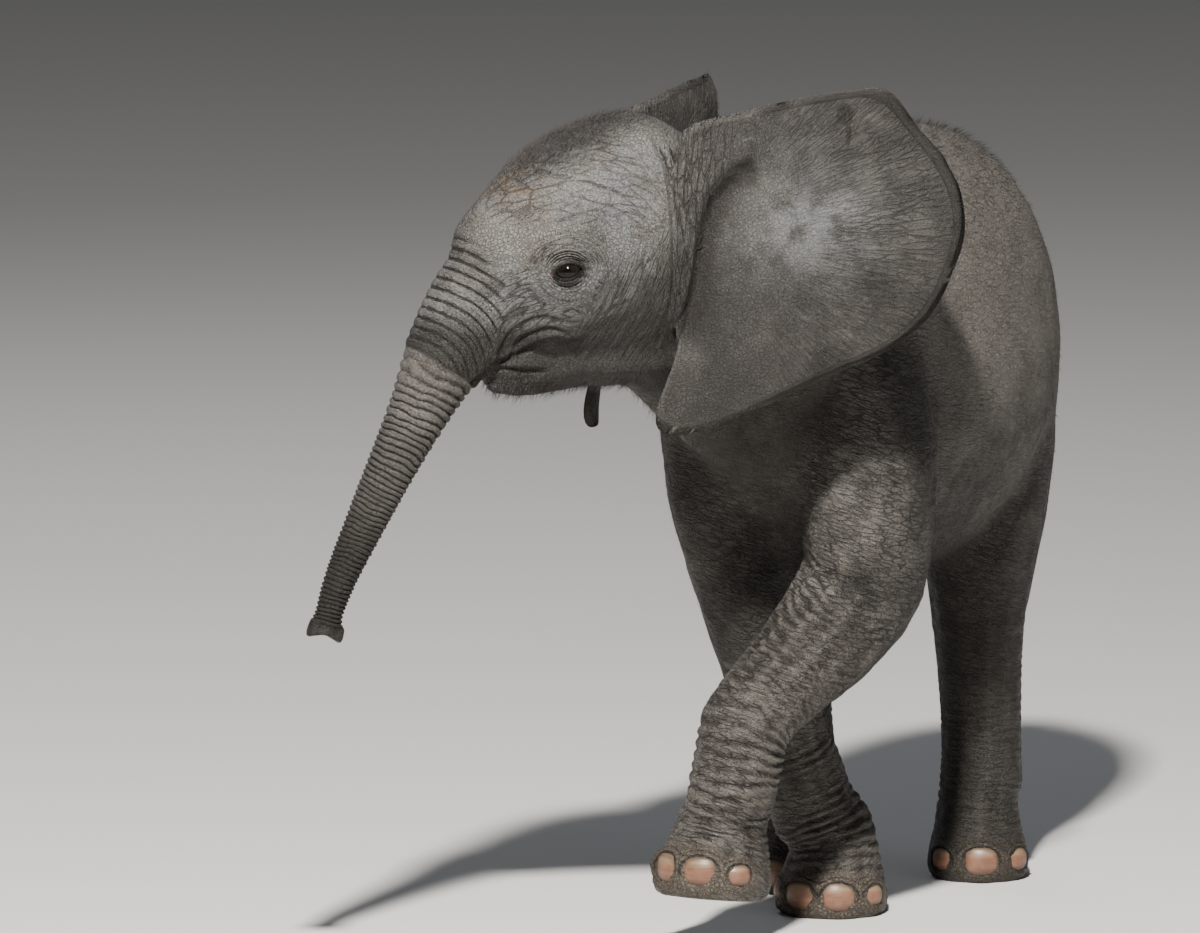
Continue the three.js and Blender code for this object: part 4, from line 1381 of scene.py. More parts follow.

# %% [markdown]
# Shade and dirt gather in the hollows, so the hollows are painted darker, as dirt and as painted shade,
# and the ridges are rubbed pale. How far a vertex lies below its smoothed place tells which it is. Cycles
# could find that out by itself, but a number on the mesh does for any program.

# %% Hollows and ridges
HOLLOW_ROUNDS = 4
FULL_HOLLOW = 0.0007  # how far below its surroundings a vertex counts as wholly hollow
flat_places = places
for _ in range(HOLLOW_ROUNDS):
    flat_places = flat_places + 0.7 * (neighbour_mean(flat_places, edges) - flat_places)
lengths = np.linalg.norm(places[edges[:, 0]] - places[edges[:, 1]], axis=1)
spacing = np.bincount(edges.ravel(), np.repeat(lengths, 2)) / np.bincount(edges.ravel())
hollow = ((flat_places - places) * normals_of(skin.data)).sum(axis=1) / FULL_HOLLOW
hollow *= np.clip(0.0030 / spacing, 0, 1) ** 2 * (1 - on_ear)  # where the mesh is coarse it says little
print("hollows:", int((hollow > 0.5).sum()), "vertices, ridges:", int((hollow < -0.5).sum()))

# %% [markdown]
# The material needs to know where on the animal it is: the crown is dark, the back is dusty and painted
# lighter high up where it faces up, the brow is painted pale as painted light, and the ear has a pale
# patch. Image masks would need an unwrap of the whole skin. Numbers at the vertices need none.

# %% Store what the material needs


def store(name, values):
    """Put one number or vector per vertex on the skin."""
    kind = "FLOAT_VECTOR" if values.ndim == 2 else "FLOAT"
    made = skin.data.attributes.get(name) or skin.data.attributes.new(name, kind, "POINT")
    made.data.foreach_set("vector" if values.ndim == 2 else "value", np.asarray(values, np.float32).ravel())


facing_now = normals_of(skin.data)
lid_edge, pink = np.zeros(len(places)), np.zeros(len(places))
for eye in eyes:
    away = places - np.array(eye.centre)
    oval = np.hypot(away @ np.array(eye.along) / 0.0175, away @ np.array(eye.up) / 0.0105)
    lid_edge += (1 - ease(oval, 0.95, 1.30)) * (np.linalg.norm(away, axis=1) < 0.03)
    corner = np.array(eye.place(0.0185, -0.0015, 0.004))
    pink += hump(np.linalg.norm(places - corner, axis=1), 0, 0.004)
near_trunk = softened(along > 0, edges, 4)
root_rings = PATCHES["trunk root"][0] * (along == 0) * (1 - np.clip(2 * near_trunk, 0, 1))
root_rings = root_rings * ease(root_turn, 1.4, 1.7)
crown = face * ease(high + 0.45 * ahead, 0.125, 0.165) + neck * ease(z, 0.90, 0.96)
all_legs = part("foreleg", "hindleg", "forefoot", "hindfoot")
# The brow is painted pale: painted light.
brow = face * hump(ahead, 0.145, 0.035) * hump(high, 0.025, 0.035)
store("phase", np.where(along > 0, stored("phase"), root_phase))
store("toe", toe_far)
store("toe_top", toe_top)
store("lid_edge", lid_edge)
store("pink", pink)
store("flow", flow)
store("head_place", np.stack([left, ahead, high], axis=1))
store("line_depth", line_depth * ease(toe_far, 1.4, 2.3))
store("hollow", np.clip(hollow * ease(toe_far, 1.3, 1.9), -1, 1))
store("crown", np.clip(crown, 0, 1))
store("ear", on_ear)
store("face", np.clip(face, 0, 1))
store("leg", np.clip(all_legs, 0, 1) * (1 - ease(z, 0.30, 0.50)))
store("ochre", face * hump(ahead, 0.135, 0.035) * hump(high, 0.085, 0.022))
# The pocket before the ear is painted dark too: painted shade in the crevice.
store("pocket", np.clip(pocket * 1.5, 0, 1))
# The ear's rim faces away from the light and is painted lighter: painted light.
store("rim", on_ear * (1 - ease(flatness, 0.35, 0.75)) * ease(ear_far, 0.10, 0.14))
store("ringed", on_trunk * ease(along, 0.02, 0.07) + 0.8 * root_rings)
# Dust on the back, lighter high up where the body faces up, and the pale brow: dust and painted light.
store("dusty", torso * ease(facing_now[:, 2], -0.7, 0.1) * ease(z, 0.50, 0.72) + 0.7 * brow)
store("pale", on_ear * hump(ahead, -0.215, 0.085) * hump(high, 0.035, 0.060))
print("stored:", [a.name for a in skin.data.attributes])

# %% [markdown]
# Shade is painted into the skin where it falls: under the jaw and the belly, low on the neck and the
# hind legs, on the right upper foreleg, behind the ear's root and on the lower and rear cheek. The skin is
# also darker on the lower and rear ear, round the eye and towards the trunk's tip. Each region adds its
# share to one mask.

# %% Where shade is painted and the skin is dark
SHADY = (  # how dark, and where
    (1.0, face * (1 - ease(high - 0.12 * ahead, -0.130, -0.070))),  # under the jaw
    (1.0, on_trunk * ease(along, 0.10, 0.26)),
    (0.9, hump(gap, 0, 0.024) * at_root * (1 - ease(in_front, -0.006, 0.002))),  # behind the ear's root
    (0.40, on_ear * (1 - ease(high, -0.10, 0.03))),
    (0.30, on_ear * ease(-ahead, 0.24, 0.31)),
    (0.5, torso * ease(-facing_now[:, 2], -0.1, 0.6)),
    (0.8, neck * (1 - ease(z, 0.62, 0.80))),
    (0.8, hindlegs * (1 - ease(z, 0.45, 0.60))),
    (0.5, part("foreleg_upper") * (1 - ease(left, -0.02, 0.02))),
    (0.6, cheek * (1 - ease(high + 1.27 * ahead, -0.08, 0.06))),
    (0.35, cheek * (1 - ease(high, -0.13, -0.04))),
    (0.35, cheek * (1 - ease(ahead, -0.075, -0.010))),
    (0.5, cheek * (1 - ease(high + 0.5 * ahead, -0.075, -0.010)) * (1 - ease(ahead, 0.05, 0.12))),
    (0.5, cheek * hump(ahead, 0.095, 0.035) * hump(high, -0.048, 0.024)),
    (0.6, cheek * (1 - ease(eye_far, 0.013, 0.024))),
)
# Most of this mask is painted shade; towards the trunk's tip the skin itself is darker.
dark = sum(share * where for share, where in SHADY)
store("dark", np.clip(dark, 0, 1))
print("dark:", int((dark > 0.5).sum()), "vertices")

# %% [markdown]
# ## Materials
# A finish is a tree of nodes. It could be wired up by mouse, but a script can be changed in one place. This
# kit adds a node, fills its sockets and gives back what comes out.

# %% A small kit for node materials


class Nodes:
    """Adds nodes to a material and links them."""

    def __init__(self, name):
        self.material = bpy.data.materials.new(name)
        self.material.use_nodes = True
        self.tree = self.material.node_tree
        self.shader = next(n for n in self.tree.nodes if n.type == "BSDF_PRINCIPLED")

    def add(self, kind, sockets=None, **settings):
        """Add a node, set its settings, and link or fill its sockets."""
        node = self.tree.nodes.new("ShaderNode" + kind)
        for key, value in settings.items():
            setattr(node, key, value)
        for key, value in (sockets or {}).items():
            self.give(node.inputs[key], value)
        return node

    def give(self, socket, value):
        """Link a socket to another, or set its value."""
        if isinstance(value, bpy.types.NodeSocket):
            self.tree.links.new(value, socket)
        else:
            socket.default_value = value

    def attribute(self, name, output="Fac"):
        """Read a number or vector stored on the mesh."""
        return self.add("Attribute", attribute_name=name).outputs[output]

    def math(self, operation, first, second=0.0):
        """One sum, difference, product or the like."""
        return self.add("Math", {0: first, 1: second}, operation=operation).outputs[0]

    def times(self, first, second):
        """The product of two numbers."""
        return self.math("MULTIPLY", first, second)

    def ramp(self, value, low, top, least=0.0, most=1.0):
        """Map a range onto another, clamped and smooth."""
        ranges = {"Value": value, "From Min": low, "From Max": top, "To Min": least, "To Max": most}
        return self.add("MapRange", ranges, interpolation_type="SMOOTHSTEP").outputs[0]

    def blend(self, share, first, second):
        """Blend two colours."""
        return self.add("Mix", {0: share, 6: first, 7: second}, data_type="RGBA").outputs[2]

    def vectors(self, operation, sockets):
        """One sum, difference, product or the like of vectors."""
        return self.add("VectorMath", sockets, operation=operation).outputs[0]

    def noise(self, vector, scale, detail=3.0, roughness=0.55):
        """Cloudy noise from 0 to 1."""
        look = {"Vector": vector, "Scale": scale, "Detail": detail, "Roughness": roughness}
        return self.add("TexNoise", look).outputs["Fac"]

    def cracks(self, vector, scale, wide, wobble=0.3, fine=1.7):
        """Cracks between cells: 1 in the crack, 0 on the cell."""
        push = self.add("TexNoise", {"Vector": vector, "Scale": scale * fine, "Detail": 2.0}).outputs["Color"]
        centred = self.vectors("SUBTRACT", {0: push, 1: (0.5, 0.5, 0.5)})
        shift = self.vectors("SCALE", {0: centred, "Scale": wobble * 2 / scale})
        moved = self.vectors("ADD", {0: vector, 1: shift})
        cell = self.add("TexVoronoi", {"Vector": moved, "Scale": scale}, feature="DISTANCE_TO_EDGE")
        return self.ramp(cell.outputs["Distance"], 0.0, wide, 1.0, 0.0)

    def wrinkles(self, vector, scale, wide):
        """Long wandering lines, where a noise crosses its middle value: 1 on the line, 0 beside it."""
        away = self.math("ABSOLUTE", self.math("SUBTRACT", self.noise(vector, scale, 2.0, 0.4), 0.5))
        return self.ramp(away, 0.0, wide, 1.0, 0.0)

    def spot(self, vector, centre, radii):
        """1 inside an oval about a place, 0 outside."""
        away = self.vectors("SUBTRACT", {0: vector, 1: centre})
        squeezed = self.vectors("DIVIDE", {0: away, 1: radii})
        far = self.add("VectorMath", {0: squeezed}, operation="LENGTH").outputs["Value"]
        return self.ramp(far, 0.75, 1.15, 1.0, 0.0)

    def bump(self, height, distance, before=None):
        """Bump of so many metres, on top of another."""
        node = self.add("Bump", {"Height": height, "Distance": distance, "Strength": 1.0})
        if before is not None:
            self.tree.links.new(before, node.inputs["Normal"])
        return node.outputs[0]


def colour(r, g, b):
    """A colour with full opacity."""
    return (r, g, b, 1.0)


print("material kit ready")

# %% [markdown]
# Elephant skin is dark grey, cracked all over, dusty on the ridges and darker in every groove, where dirt
# lies and where shade is painted. Voronoi cells have the look of such cracks: one set is small and even and
# covers everything, the others read the patches' lines. They are finer than the mesh, so they are bump,
# and they darken the colour where they are deep, as dirt and as painted shade.

# %% Lines of the skin
hide = Nodes("elephant_skin")
here = hide.add("TexCoord").outputs["Object"]
line_flow = hide.attribute("flow", "Vector")
depth = hide.attribute("line_depth")
hollowness = hide.attribute("hollow")
ear_share = hide.attribute("ear")
fine_cracks = hide.cracks(here, 210.0, 0.20, 0.35)
small_cracks = hide.cracks(here, 430.0, 0.25, 0.4)
slanted = hide.add("VectorRotate", {"Vector": line_flow, "Angle": 0.75}, rotation_type="Z_AXIS").outputs[0]
line_cells = hide.cracks(line_flow, 1.0, 0.16, 0.16)
line_close = hide.times(hide.cracks(line_flow, 1.9, 0.18, 0.16), 0.5)
line_slanted = hide.times(hide.cracks(slanted, 1.1, 0.15, 0.16), 0.5)
line_long = hide.times(hide.wrinkles(line_flow, 0.8, 0.05), 0.8)
lines = line_cells
for other in (line_long, line_close, line_slanted):
    lines = hide.math("MAXIMUM", lines, other)
lines = hide.times(lines, hide.ramp(hide.noise(here, 22.0, 3.0), 0.35, 0.65, 0.70, 1.0))
lines = hide.times(lines, depth)
doubled = hide.math("FRACT", hide.math("ADD", hide.times(hide.attribute("phase"), 2.0), 0.5))
ring_line = hide.ramp(hide.math("ABSOLUTE", hide.math("SUBTRACT", doubled, 0.5)), 0.0, 0.20, 1.0, 0.0)
ring_line = hide.times(ring_line, hide.attribute("ringed"))
lines = hide.math("MAXIMUM", lines, ring_line)
toe_share = hide.attribute("toe")


def toe_ring(far):
    """A thin line round every nail, that many nails from its middle."""
    off = hide.math("ABSOLUTE", hide.math("SUBTRACT", toe_share, far))
    return hide.times(hide.ramp(off, 0.01, 0.10, 1.0, 0.0), hide.attribute("toe_top"))


for far, share in ((1.17, 0.75), (1.56, 0.55)):
    lines = hide.math("MAXIMUM", lines, hide.times(toe_ring(far), share))
even_share = hide.math("SUBTRACT", hide.ramp(depth, 0.0, 1.0, 0.95, 0.40), hide.times(ear_share, 0.35))
even = hide.times(fine_cracks, even_share)
print("lines of the skin:", len(hide.tree.nodes), "nodes")

# %% [markdown]
# The colour is laid on in coats, as a painter would: two greys in clouds, blue on the face, dust and
# painted light on the back, the ear's own grey, the marks of each region, and last the dirt and painted
# shade in lines and hollows, painted shade where it falls, and painted light on the ear's rim.

# %% Colours of the skin
SKIN_DARK = colour(0.016, 0.014, 0.013)
SKIN_MID = colour(0.048, 0.044, 0.040)
SKIN_DUSTY = colour(0.138, 0.129, 0.118)
DUST_AND_PAINTED_LIGHT = colour(0.158, 0.146, 0.132)
SKIN_BLUE = colour(0.156, 0.160, 0.164)
SKIN_WARM = colour(0.052, 0.044, 0.037)
CROWN_AND_SHADE_DARK = colour(0.015, 0.0135, 0.012)
OCHRE = colour(0.140, 0.098, 0.056)
INNER_PINK = colour(0.150, 0.070, 0.055)
EAR_GREY = colour(0.029, 0.027, 0.026)
EAR_PALE = colour(0.130, 0.134, 0.137)
MUD = colour(0.007, 0.0055, 0.0045)
# painted light for the ear's rim
EAR_RIM_PAINTED_LIGHT = colour(0.082, 0.077, 0.072)
TOE_BROWN = colour(0.085, 0.068, 0.050)
LID_BLACK = colour(0.005, 0.0042, 0.004)
DRIP = (  # a stain on the left ear: middle and radii in the head's axes
    ((0.16, -0.258, 0.163), (0.16, 0.011, 0.014)), ((0.16, -0.263, 0.140), (0.16, 0.004, 0.016)))

cloud = hide.noise(here, 9.0, 5.0, 0.6)
cloud_fine = hide.noise(here, 60.0, 4.0, 0.6)
speckle = hide.noise(here, 420.0, 2.0, 0.6)
tone = hide.blend(hide.ramp(cloud, 0.38, 0.62), SKIN_MID, SKIN_DUSTY)
patches_blue = hide.ramp(hide.noise(here, 14.0, 3.0), 0.40, 0.62, 0.1, 0.8)
tone = hide.blend(hide.times(hide.attribute("face"), patches_blue), tone, SKIN_BLUE)
# dust and painted light on the back and the brow
tone = hide.blend(hide.times(hide.attribute("dusty"), 0.8), tone, DUST_AND_PAINTED_LIGHT)
patches_ear = hide.ramp(hide.noise(here, 16.0, 5.0), 0.35, 0.65, 0.55, 1.0)
tone = hide.blend(hide.times(ear_share, patches_ear), tone, EAR_GREY)
patches_pale = hide.ramp(hide.noise(here, 40.0, 5.0), 0.30, 0.62, 0.1, 1.0)
tone = hide.blend(hide.times(hide.attribute("pale"), patches_pale), tone, EAR_PALE)
scratches = hide.cracks(hide.vectors("MULTIPLY", {0: here, 1: (9.0, 9.0, 26.0)}), 1.0, 0.012, 0.5)
scratches = hide.times(hide.times(scratches, ear_share), hide.ramp(cloud_fine, 0.45, 0.6, 0.0, 0.6))
tone = hide.blend(scratches, tone, EAR_PALE)
head_place = hide.attribute("head_place", "Vector")
drip = hide.math("MAXIMUM", *[hide.spot(head_place, centre, radii) for centre, radii in DRIP])
tone = hide.blend(hide.times(hide.times(drip, ear_share), 0.8), tone, MUD)
for region, low, top, least, most, tint in (
        ("leg", 0.3, 0.7, 0.3, 0.75, SKIN_WARM),
        ("crown", 0.2, 0.6, 0.5, 0.9, CROWN_AND_SHADE_DARK),
        ("ochre", 0.42, 0.60, 0.0, 0.65, OCHRE)):
    clouded = hide.ramp(cloud_fine, low, top, least, most)
    tone = hide.blend(hide.times(hide.attribute(region), clouded), tone, tint)
tone = hide.blend(hide.ramp(toe_share, 1.3, 2.6, 0.7, 0.0), tone, TOE_BROWN)
# Ridges are painted paler, as rubbed; hollows and lines are painted darker, as dirt and as painted shade.
tone = hide.blend(hide.ramp(hollowness, 0.0, -0.8, 0.0, 0.55), tone, SKIN_DUSTY)
hollow_weight = hide.ramp(hide.attribute("ringed"), 0.0, 1.0, 0.45, 0.80)
deep = hide.math("ADD", hide.times(hollowness, hollow_weight), hide.times(lines, 0.72))
tone = hide.blend(hide.ramp(deep, 0.04, 0.66, 0.0, 0.92), tone, SKIN_DARK)
tone = hide.blend(hide.times(even, 0.50), tone, SKIN_DARK)
tone = hide.blend(hide.ramp(speckle, 0.58, 0.75, 0.0, 0.30), tone, SKIN_DUSTY)
# Last come the mask of painted shade and darker skin, painted light on the ear's rim, the lids' dark edge,
# the pink corner, and painted shade in the pocket before the ear.
for region, most, tint in (
        ("dark", 0.85, CROWN_AND_SHADE_DARK), ("rim", 0.75, EAR_RIM_PAINTED_LIGHT), ("lid_edge", 0.9, LID_BLACK),
        ("pink", 0.3, INNER_PINK), ("pocket", 0.9, SKIN_DARK)):
    tone = hide.blend(hide.times(hide.attribute(region), most), tone, tint)
print("colours of the skin:", len(hide.tree.nodes), "nodes")

# %% [markdown]
# Dry skin has a dull sheen. Four bumps lie on one another, from the patches' lines down to fine cracks,
# each told by its height in metres. The skin then takes the place of all the solids of flesh.

# %% Put the material on the skin
LINE_BUMP = 0.0032
CRACK_BUMP = 0.0013
SMALL_BUMP = 0.0004
CLOUD_BUMP = 0.0012
hide.give(hide.shader.inputs["Base Color"], tone)
hide.give(hide.shader.inputs["Roughness"], hide.ramp(cloud_fine, 0.3, 0.7, 0.38, 0.60))
hide.shader.inputs["Specular IOR Level"].default_value = 0.20
raised = hide.bump(hide.times(lines, -1.0), LINE_BUMP)
raised = hide.bump(hide.times(even, -1.0), CRACK_BUMP, raised)
raised = hide.bump(hide.times(small_cracks, -1.0), SMALL_BUMP, raised)
raised = hide.bump(cloud_fine, CLOUD_BUMP, raised)
hide.give(hide.shader.inputs["Normal"], raised)
skin.data.materials.clear()
skin.data.materials.append(hide.material)
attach(skin, "root")
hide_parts(*FLESH)
print("skin material:", len(hide.tree.nodes), "nodes")

# %% [markdown]
# ## Eyes
# The eye is a wet ball, dark brown, with a clear bulge in front of the iris. The frame's own ball could be
# painted, but a finer sphere of its size has a smoother outline. Its colours run in rings about the way it
# looks.

# %% Eyeballs
EYE_STEPS = 48
EYE_GAP = 0.0002
IRIS_ANGLE = math.radians(44)
CORNEA_RISE = 0.0011

for eye in eyes:
    ball = bmesh.new()
    bmesh.ops.create_uvsphere(
        ball, u_segments=EYE_STEPS, v_segments=EYE_STEPS, radius=EYE_RADIUS - EYE_GAP)
    look = (eye.out + eye.up * -0.02 + eye.along * 0.10).normalized()
    aim = look.to_track_quat("Z", "Y").to_matrix().to_4x4()
    iris = ball.verts.layers.float.new("iris")
    for v in ball.verts:
        away = math.acos(max(-1.0, min(1.0, v.co.normalized().z)))
        v[iris] = away / IRIS_ANGLE
        v.co += v.co.normalized() * CORNEA_RISE * float(ease(-away, -IRIS_ANGLE, 0))
    bmesh.ops.transform(ball, matrix=Matrix.Translation(eye.centre) @ aim, verts=ball.verts)
    in_fixed_order(ball)
    made = object_from(ball, eye.node + "_ball")
    shade_smooth(made.data)
    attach(made, "root")
    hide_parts(eye.node)
    eye.ball = made
    print(eye.node, len(made.data.polygons), "faces")

wet = Nodes("elephant_eye")
iris_share = wet.attribute("iris")
streak = wet.noise(wet.add("TexCoord").outputs["Object"], 900.0, 2.0)
iris_colour = wet.blend(streak, colour(0.008, 0.005, 0.004), colour(0.004, 0.003, 0.002))
eye_colour = wet.blend(wet.ramp(iris_share, 0.36, 0.44), colour(0.002, 0.002, 0.002), iris_colour)
eye_colour = wet.blend(wet.ramp(iris_share, 0.86, 1.02), eye_colour, colour(0.012, 0.008, 0.006))
eye_colour = wet.blend(wet.ramp(iris_share, 1.15, 1.5), eye_colour, colour(0.010, 0.007, 0.006))
wet.give(wet.shader.inputs["Base Color"], eye_colour)
wet.shader.inputs["Roughness"].default_value = 0.10
wet.shader.inputs["Specular IOR Level"].default_value = 0.18
wet.shader.inputs["Coat Weight"].default_value = 0.04
wet.shader.inputs["Coat Roughness"].default_value = 0.03
for eye in eyes:
    eye.ball.data.materials.append(wet.material)

# %% [markdown]
# ## Nails
# A toenail is a smooth shield with faint growth lines, held by a rim of skin. The frame's nails are
# faceted, and subdividing would shrink them. So each gets a sphere, pressed flat, squared a little at the
# corners and bent round the toe.

# %% Nails
NAIL_STEPS = 28
NAIL_GROWN = 1.20  # how much wider and taller than the frame's nails, as the skin covers their edges
NAIL_FLAT = 0.85
NAIL_BOW = 0.18
NAIL_OUT = 0.0012
NAIL_ROSE = colour(0.150, 0.070, 0.042)
NAIL_FLESH = colour(0.195, 0.098, 0.062)
NAIL_CREAM = colour(0.200, 0.135, 0.085)
NAIL_EDGE = colour(0.040, 0.026, 0.019)
horn = Nodes("elephant_nail")
where = horn.add("TexCoord").outputs["Object"]
tall = horn.add("VectorMath", {0: where, 1: (40.0, 40.0, 420.0)}, operation="MULTIPLY").outputs[0]
growth = horn.noise(tall, 1.0, 2.0)
clouded = horn.noise(where, 70.0, 3.0)
nail_colour = horn.blend(horn.ramp(clouded, 0.35, 0.65), NAIL_ROSE, NAIL_FLESH)
nail_colour = horn.blend(horn.ramp(horn.attribute("upper"), 0.30, 0.62), nail_colour, NAIL_CREAM)
nail_colour = horn.blend(horn.ramp(growth, 0.40, 0.75, 0.0, 0.30), nail_colour, NAIL_EDGE)
nail_colour = horn.blend(horn.ramp(horn.attribute("upper"), -0.25, -0.75, 0.0, 0.6), nail_colour, NAIL_EDGE)
nail_colour = horn.blend(horn.ramp(horn.attribute("reach"), 0.72, 0.94, 0.0, 0.6), nail_colour, NAIL_EDGE)
horn.give(horn.shader.inputs["Base Color"], nail_colour)
horn.shader.inputs["Roughness"].default_value = 0.42
horn.give(horn.shader.inputs["Normal"], horn.bump(growth, 0.0003))

for nail in NAILS:
    shield = bmesh.new()
    bmesh.ops.create_uvsphere(shield, u_segments=NAIL_STEPS, v_segments=NAIL_STEPS, radius=1)
    reach, upper = [shield.verts.layers.float.new(name) for name in ("reach", "upper")]
    for v in shield.verts:
        across, up, out = v.co
        v[reach], v[upper] = math.hypot(across, up), up
        square = 1 + 0.10 * (across * up) ** 2 * 4
        low = 0.88 if up < 0 else 1.0
        place = nail.centre + nail.across * across * square * nail.wide * NAIL_GROWN
        place = place + nail.up * up * square * low * nail.tall * NAIL_GROWN
        bowed = -NAIL_BOW * nail.wide * across ** 2
        v.co = place + nail.out * (out * nail.thick * NAIL_FLAT + bowed + NAIL_OUT)
    in_fixed_order(shield)
    made = object_from(shield, nail.name + "_horn")
    shade_smooth(made.data)
    made.data.materials.append(horn.material)
    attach(made, "root")
    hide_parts(nail.name)
first_nail = [round(1000 * s) for s in (NAILS[0].wide, NAILS[0].tall, NAILS[0].thick)]
print("nails:", len(NAILS), "the first with half sizes of", first_nail, "mm")

# %% [markdown]
# ## Hair
# A calf is born with a coat of thin, stiff hair: longest on the crown, along the back, under the chin and
# on the belly, very short on the legs and trunk. Blender's own hair would be lost in other programs. Here
# every hair is a slender cone, bent once: an operator makes one, and arrays carry copies to their roots.

# %% One hair
HAIR_SIDES = 3
HAIR_BEND = 0.55  # how far a hair of length 1 leans over at its tip
PATCH_WIDE, PATCH_TALL = 0.0010, 0.0024  # of one hair's patch on the map
CURL = np.array([0.013, 0.007, 0.003])  # keeps the axes apart where a hair lies along its own way


def one_hair(bends):
    """A cone of unit length and width along Z, cut across so that it can bend: places and triangles."""
    bm = bmesh.new()
    bmesh.ops.create_cone(bm, cap_ends=False, segments=HAIR_SIDES, radius1=1, radius2=0, depth=1)
    bmesh.ops.remove_doubles(bm, verts=bm.verts, dist=1e-5)
    bmesh.ops.translate(bm, vec=(0, 0, 0.5), verts=bm.verts)
    for k in range(1, bends + 1):
        parts = list(bm.verts) + list(bm.edges) + list(bm.faces)
        bmesh.ops.bisect_plane(bm, geom=parts, plane_co=(0, 0, k / (bends + 1)), plane_no=(0, 0, 1))
    bmesh.ops.triangulate(bm, faces=bm.faces)
    bm.verts.index_update()
    shape = np.array([v.co for v in bm.verts])
    faces = np.array([[v.index for v in f.verts] for f in bm.faces])
    bm.free()
    return shape, faces


def unit(vectors):
    """The vectors, each one long."""
    return vectors / np.maximum(np.linalg.norm(vectors, axis=1), 1e-9)[:, None]


def strands(name, roots, ways, lays, lengths, radius, unwrapped, bends=1):
    """One mesh of hairs: each leaves its root along its way and bends over along its lay."""
    shape, faces = one_hair(bends)
    ways, lays = unit(ways), unit(lays)
    first = unit(np.cross(ways, lays + CURL))
    second = np.cross(ways, first)
    t = shape[:, 2]
    lean = HAIR_BEND * (t ** 2)[None, :, None] * lays[:, None]
    reach = (t[None, :, None] * ways[:, None] + lean) * (lengths[:, None, None] / 1.25)
    width = np.broadcast_to(radius, len(roots))[:, None, None]
    across = shape[:, 0][None, :, None] * first[:, None] + shape[:, 1][None, :, None] * second[:, None]
    spread = across * width
    points = (roots[:, None] + reach + spread).reshape(-1, 3)
    triangles = (faces[None] + (np.arange(len(roots)) * len(shape))[:, None, None]).reshape(-1, 3)
    mesh = bpy.data.meshes.new(name)
    mesh.vertices.add(len(points))
    mesh.vertices.foreach_set("co", points.ravel())
    mesh.loops.add(triangles.size)
    mesh.loops.foreach_set("vertex_index", triangles.ravel())
    mesh.polygons.add(len(triangles))
    mesh.polygons.foreach_set("loop_start", np.arange(0, triangles.size, 3))
    mesh.update(calc_edges=True)
    patch = np.stack([PATCH_WIDE * shape[:, 0], PATCH_TALL * (t - 0.5)], axis=1)
    places_uv = (unwrapped[:, None] + patch[None]).reshape(-1, 2)
    mesh.uv_layers.new(name="OFBake")
    mesh.uv_layers["OFBake"].data.foreach_set("uv", places_uv[triangles.ravel()].ravel())
    made = bpy.data.objects.new(name, mesh)
    bpy.context.scene.collection.objects.link(made)
    shade_smooth(mesh)
    print(name, len(roots), "hairs,", len(triangles), "triangles")
    return made


print("one hair:", len(one_hair(1)[1]), "triangles")

# %% [markdown]
# Each hair has one small patch of a map for its colour, and that patch lies where its root is on an
# unwrap of the skin. A thinned copy of the skin is unwrapped, and every root looks up the nearest of its
# faces.

# %% An unwrap to look roots up in
CHART_SHARE = 0.05  # of the skin's faces
chart = skin.copy()
chart.data = skin.data.copy()
bpy.context.scene.collection.objects.link(chart)
coarse = chart.modifiers.new("coarse", "DECIMATE")
coarse.ratio = CHART_SHARE
apply_modifiers(chart)
bpy.context.view_layer.objects.active = chart
for other in bpy.context.selected_objects:
    other.select_set(False)
chart.select_set(True)
bpy.ops.object.mode_set(mode="EDIT")
bpy.ops.mesh.select_all(action="SELECT")
bpy.ops.uv.smart_project(angle_limit=math.radians(66), island_margin=0.004)
bpy.ops.object.mode_set(mode="OBJECT")
chart_mesh = bmesh.new()
chart_mesh.from_mesh(chart.data)
bmesh.ops.triangulate(chart_mesh, faces=chart_mesh.faces)
chart_mesh.faces.ensure_lookup_table()
chart_tree = BVHTree.FromBMesh(chart_mesh)
chart_uv = chart_mesh.loops.layers.uv.active


def unwrapped_at(points):
    """Where on the unwrap each place lies."""
    found = np.empty((len(points), 2))
    for k, point in enumerate(points):
        near, _, index, _ = chart_tree.find_nearest(Vector(point))
        loops = chart_mesh.faces[index].loops
        flat = barycentric_transform(
            near, *[c.vert.co for c in loops], *[c[chart_uv].uv.to_3d() for c in loops])
        found[k] = flat.x, flat.y
    return found


print("chart:", len(chart_mesh.faces), "faces")

# %% [markdown]
# Hair lies backwards and down on the body, back over the crown, and down off the chin and the trunk. It
# could be combed by hand. Here the masks that colour the skin mix four directions.

# %% Where hair grows
LAY_HEAD = -np.array(FORWARD) * 0.8 + np.array([0, 0, 0.10])
LAY_BODY = np.array([0.0, 0.9, -0.45]) * 0.7 + np.array([0.0, 0.35, -1.0]) * 0.3
LAY_CHIN = np.array(FORWARD) * 0.25 - np.array([0, 0, 1.0])
facing = normals_of(skin.data)
upward = facing[:, 2]
on_head = part("head", "lower_jaw")
on_body = part("torso", "neck")
on_chin = on_head * (1 - ease(high - 0.12 * ahead, -0.155, -0.125))
on_crown = np.clip(crown, 0, 1)
eye_clear = ease(eye_far, 0.030, 0.055)
off_eyes = eye_clear * (1 - face) + face * np.where(side > 0.05, eye_clear, 1)
lie = LAY_BODY * np.ones((len(places), 1))
for mask, lay in ((on_head, LAY_HEAD), (on_chin, LAY_CHIN), (on_trunk, np.array(trunk_way))):
    lie = lie * (1 - mask[:, None]) + mask[:, None] * lay
print("hair lies on", len(lie), "vertices")

# %% [markdown]
# Roots are strewn over the skin's triangles by area and by a weight at every vertex. A hair stands between
# the skin's normal and its lay, and strays a little. The seed is fixed, so the coat is the same at every
# run.

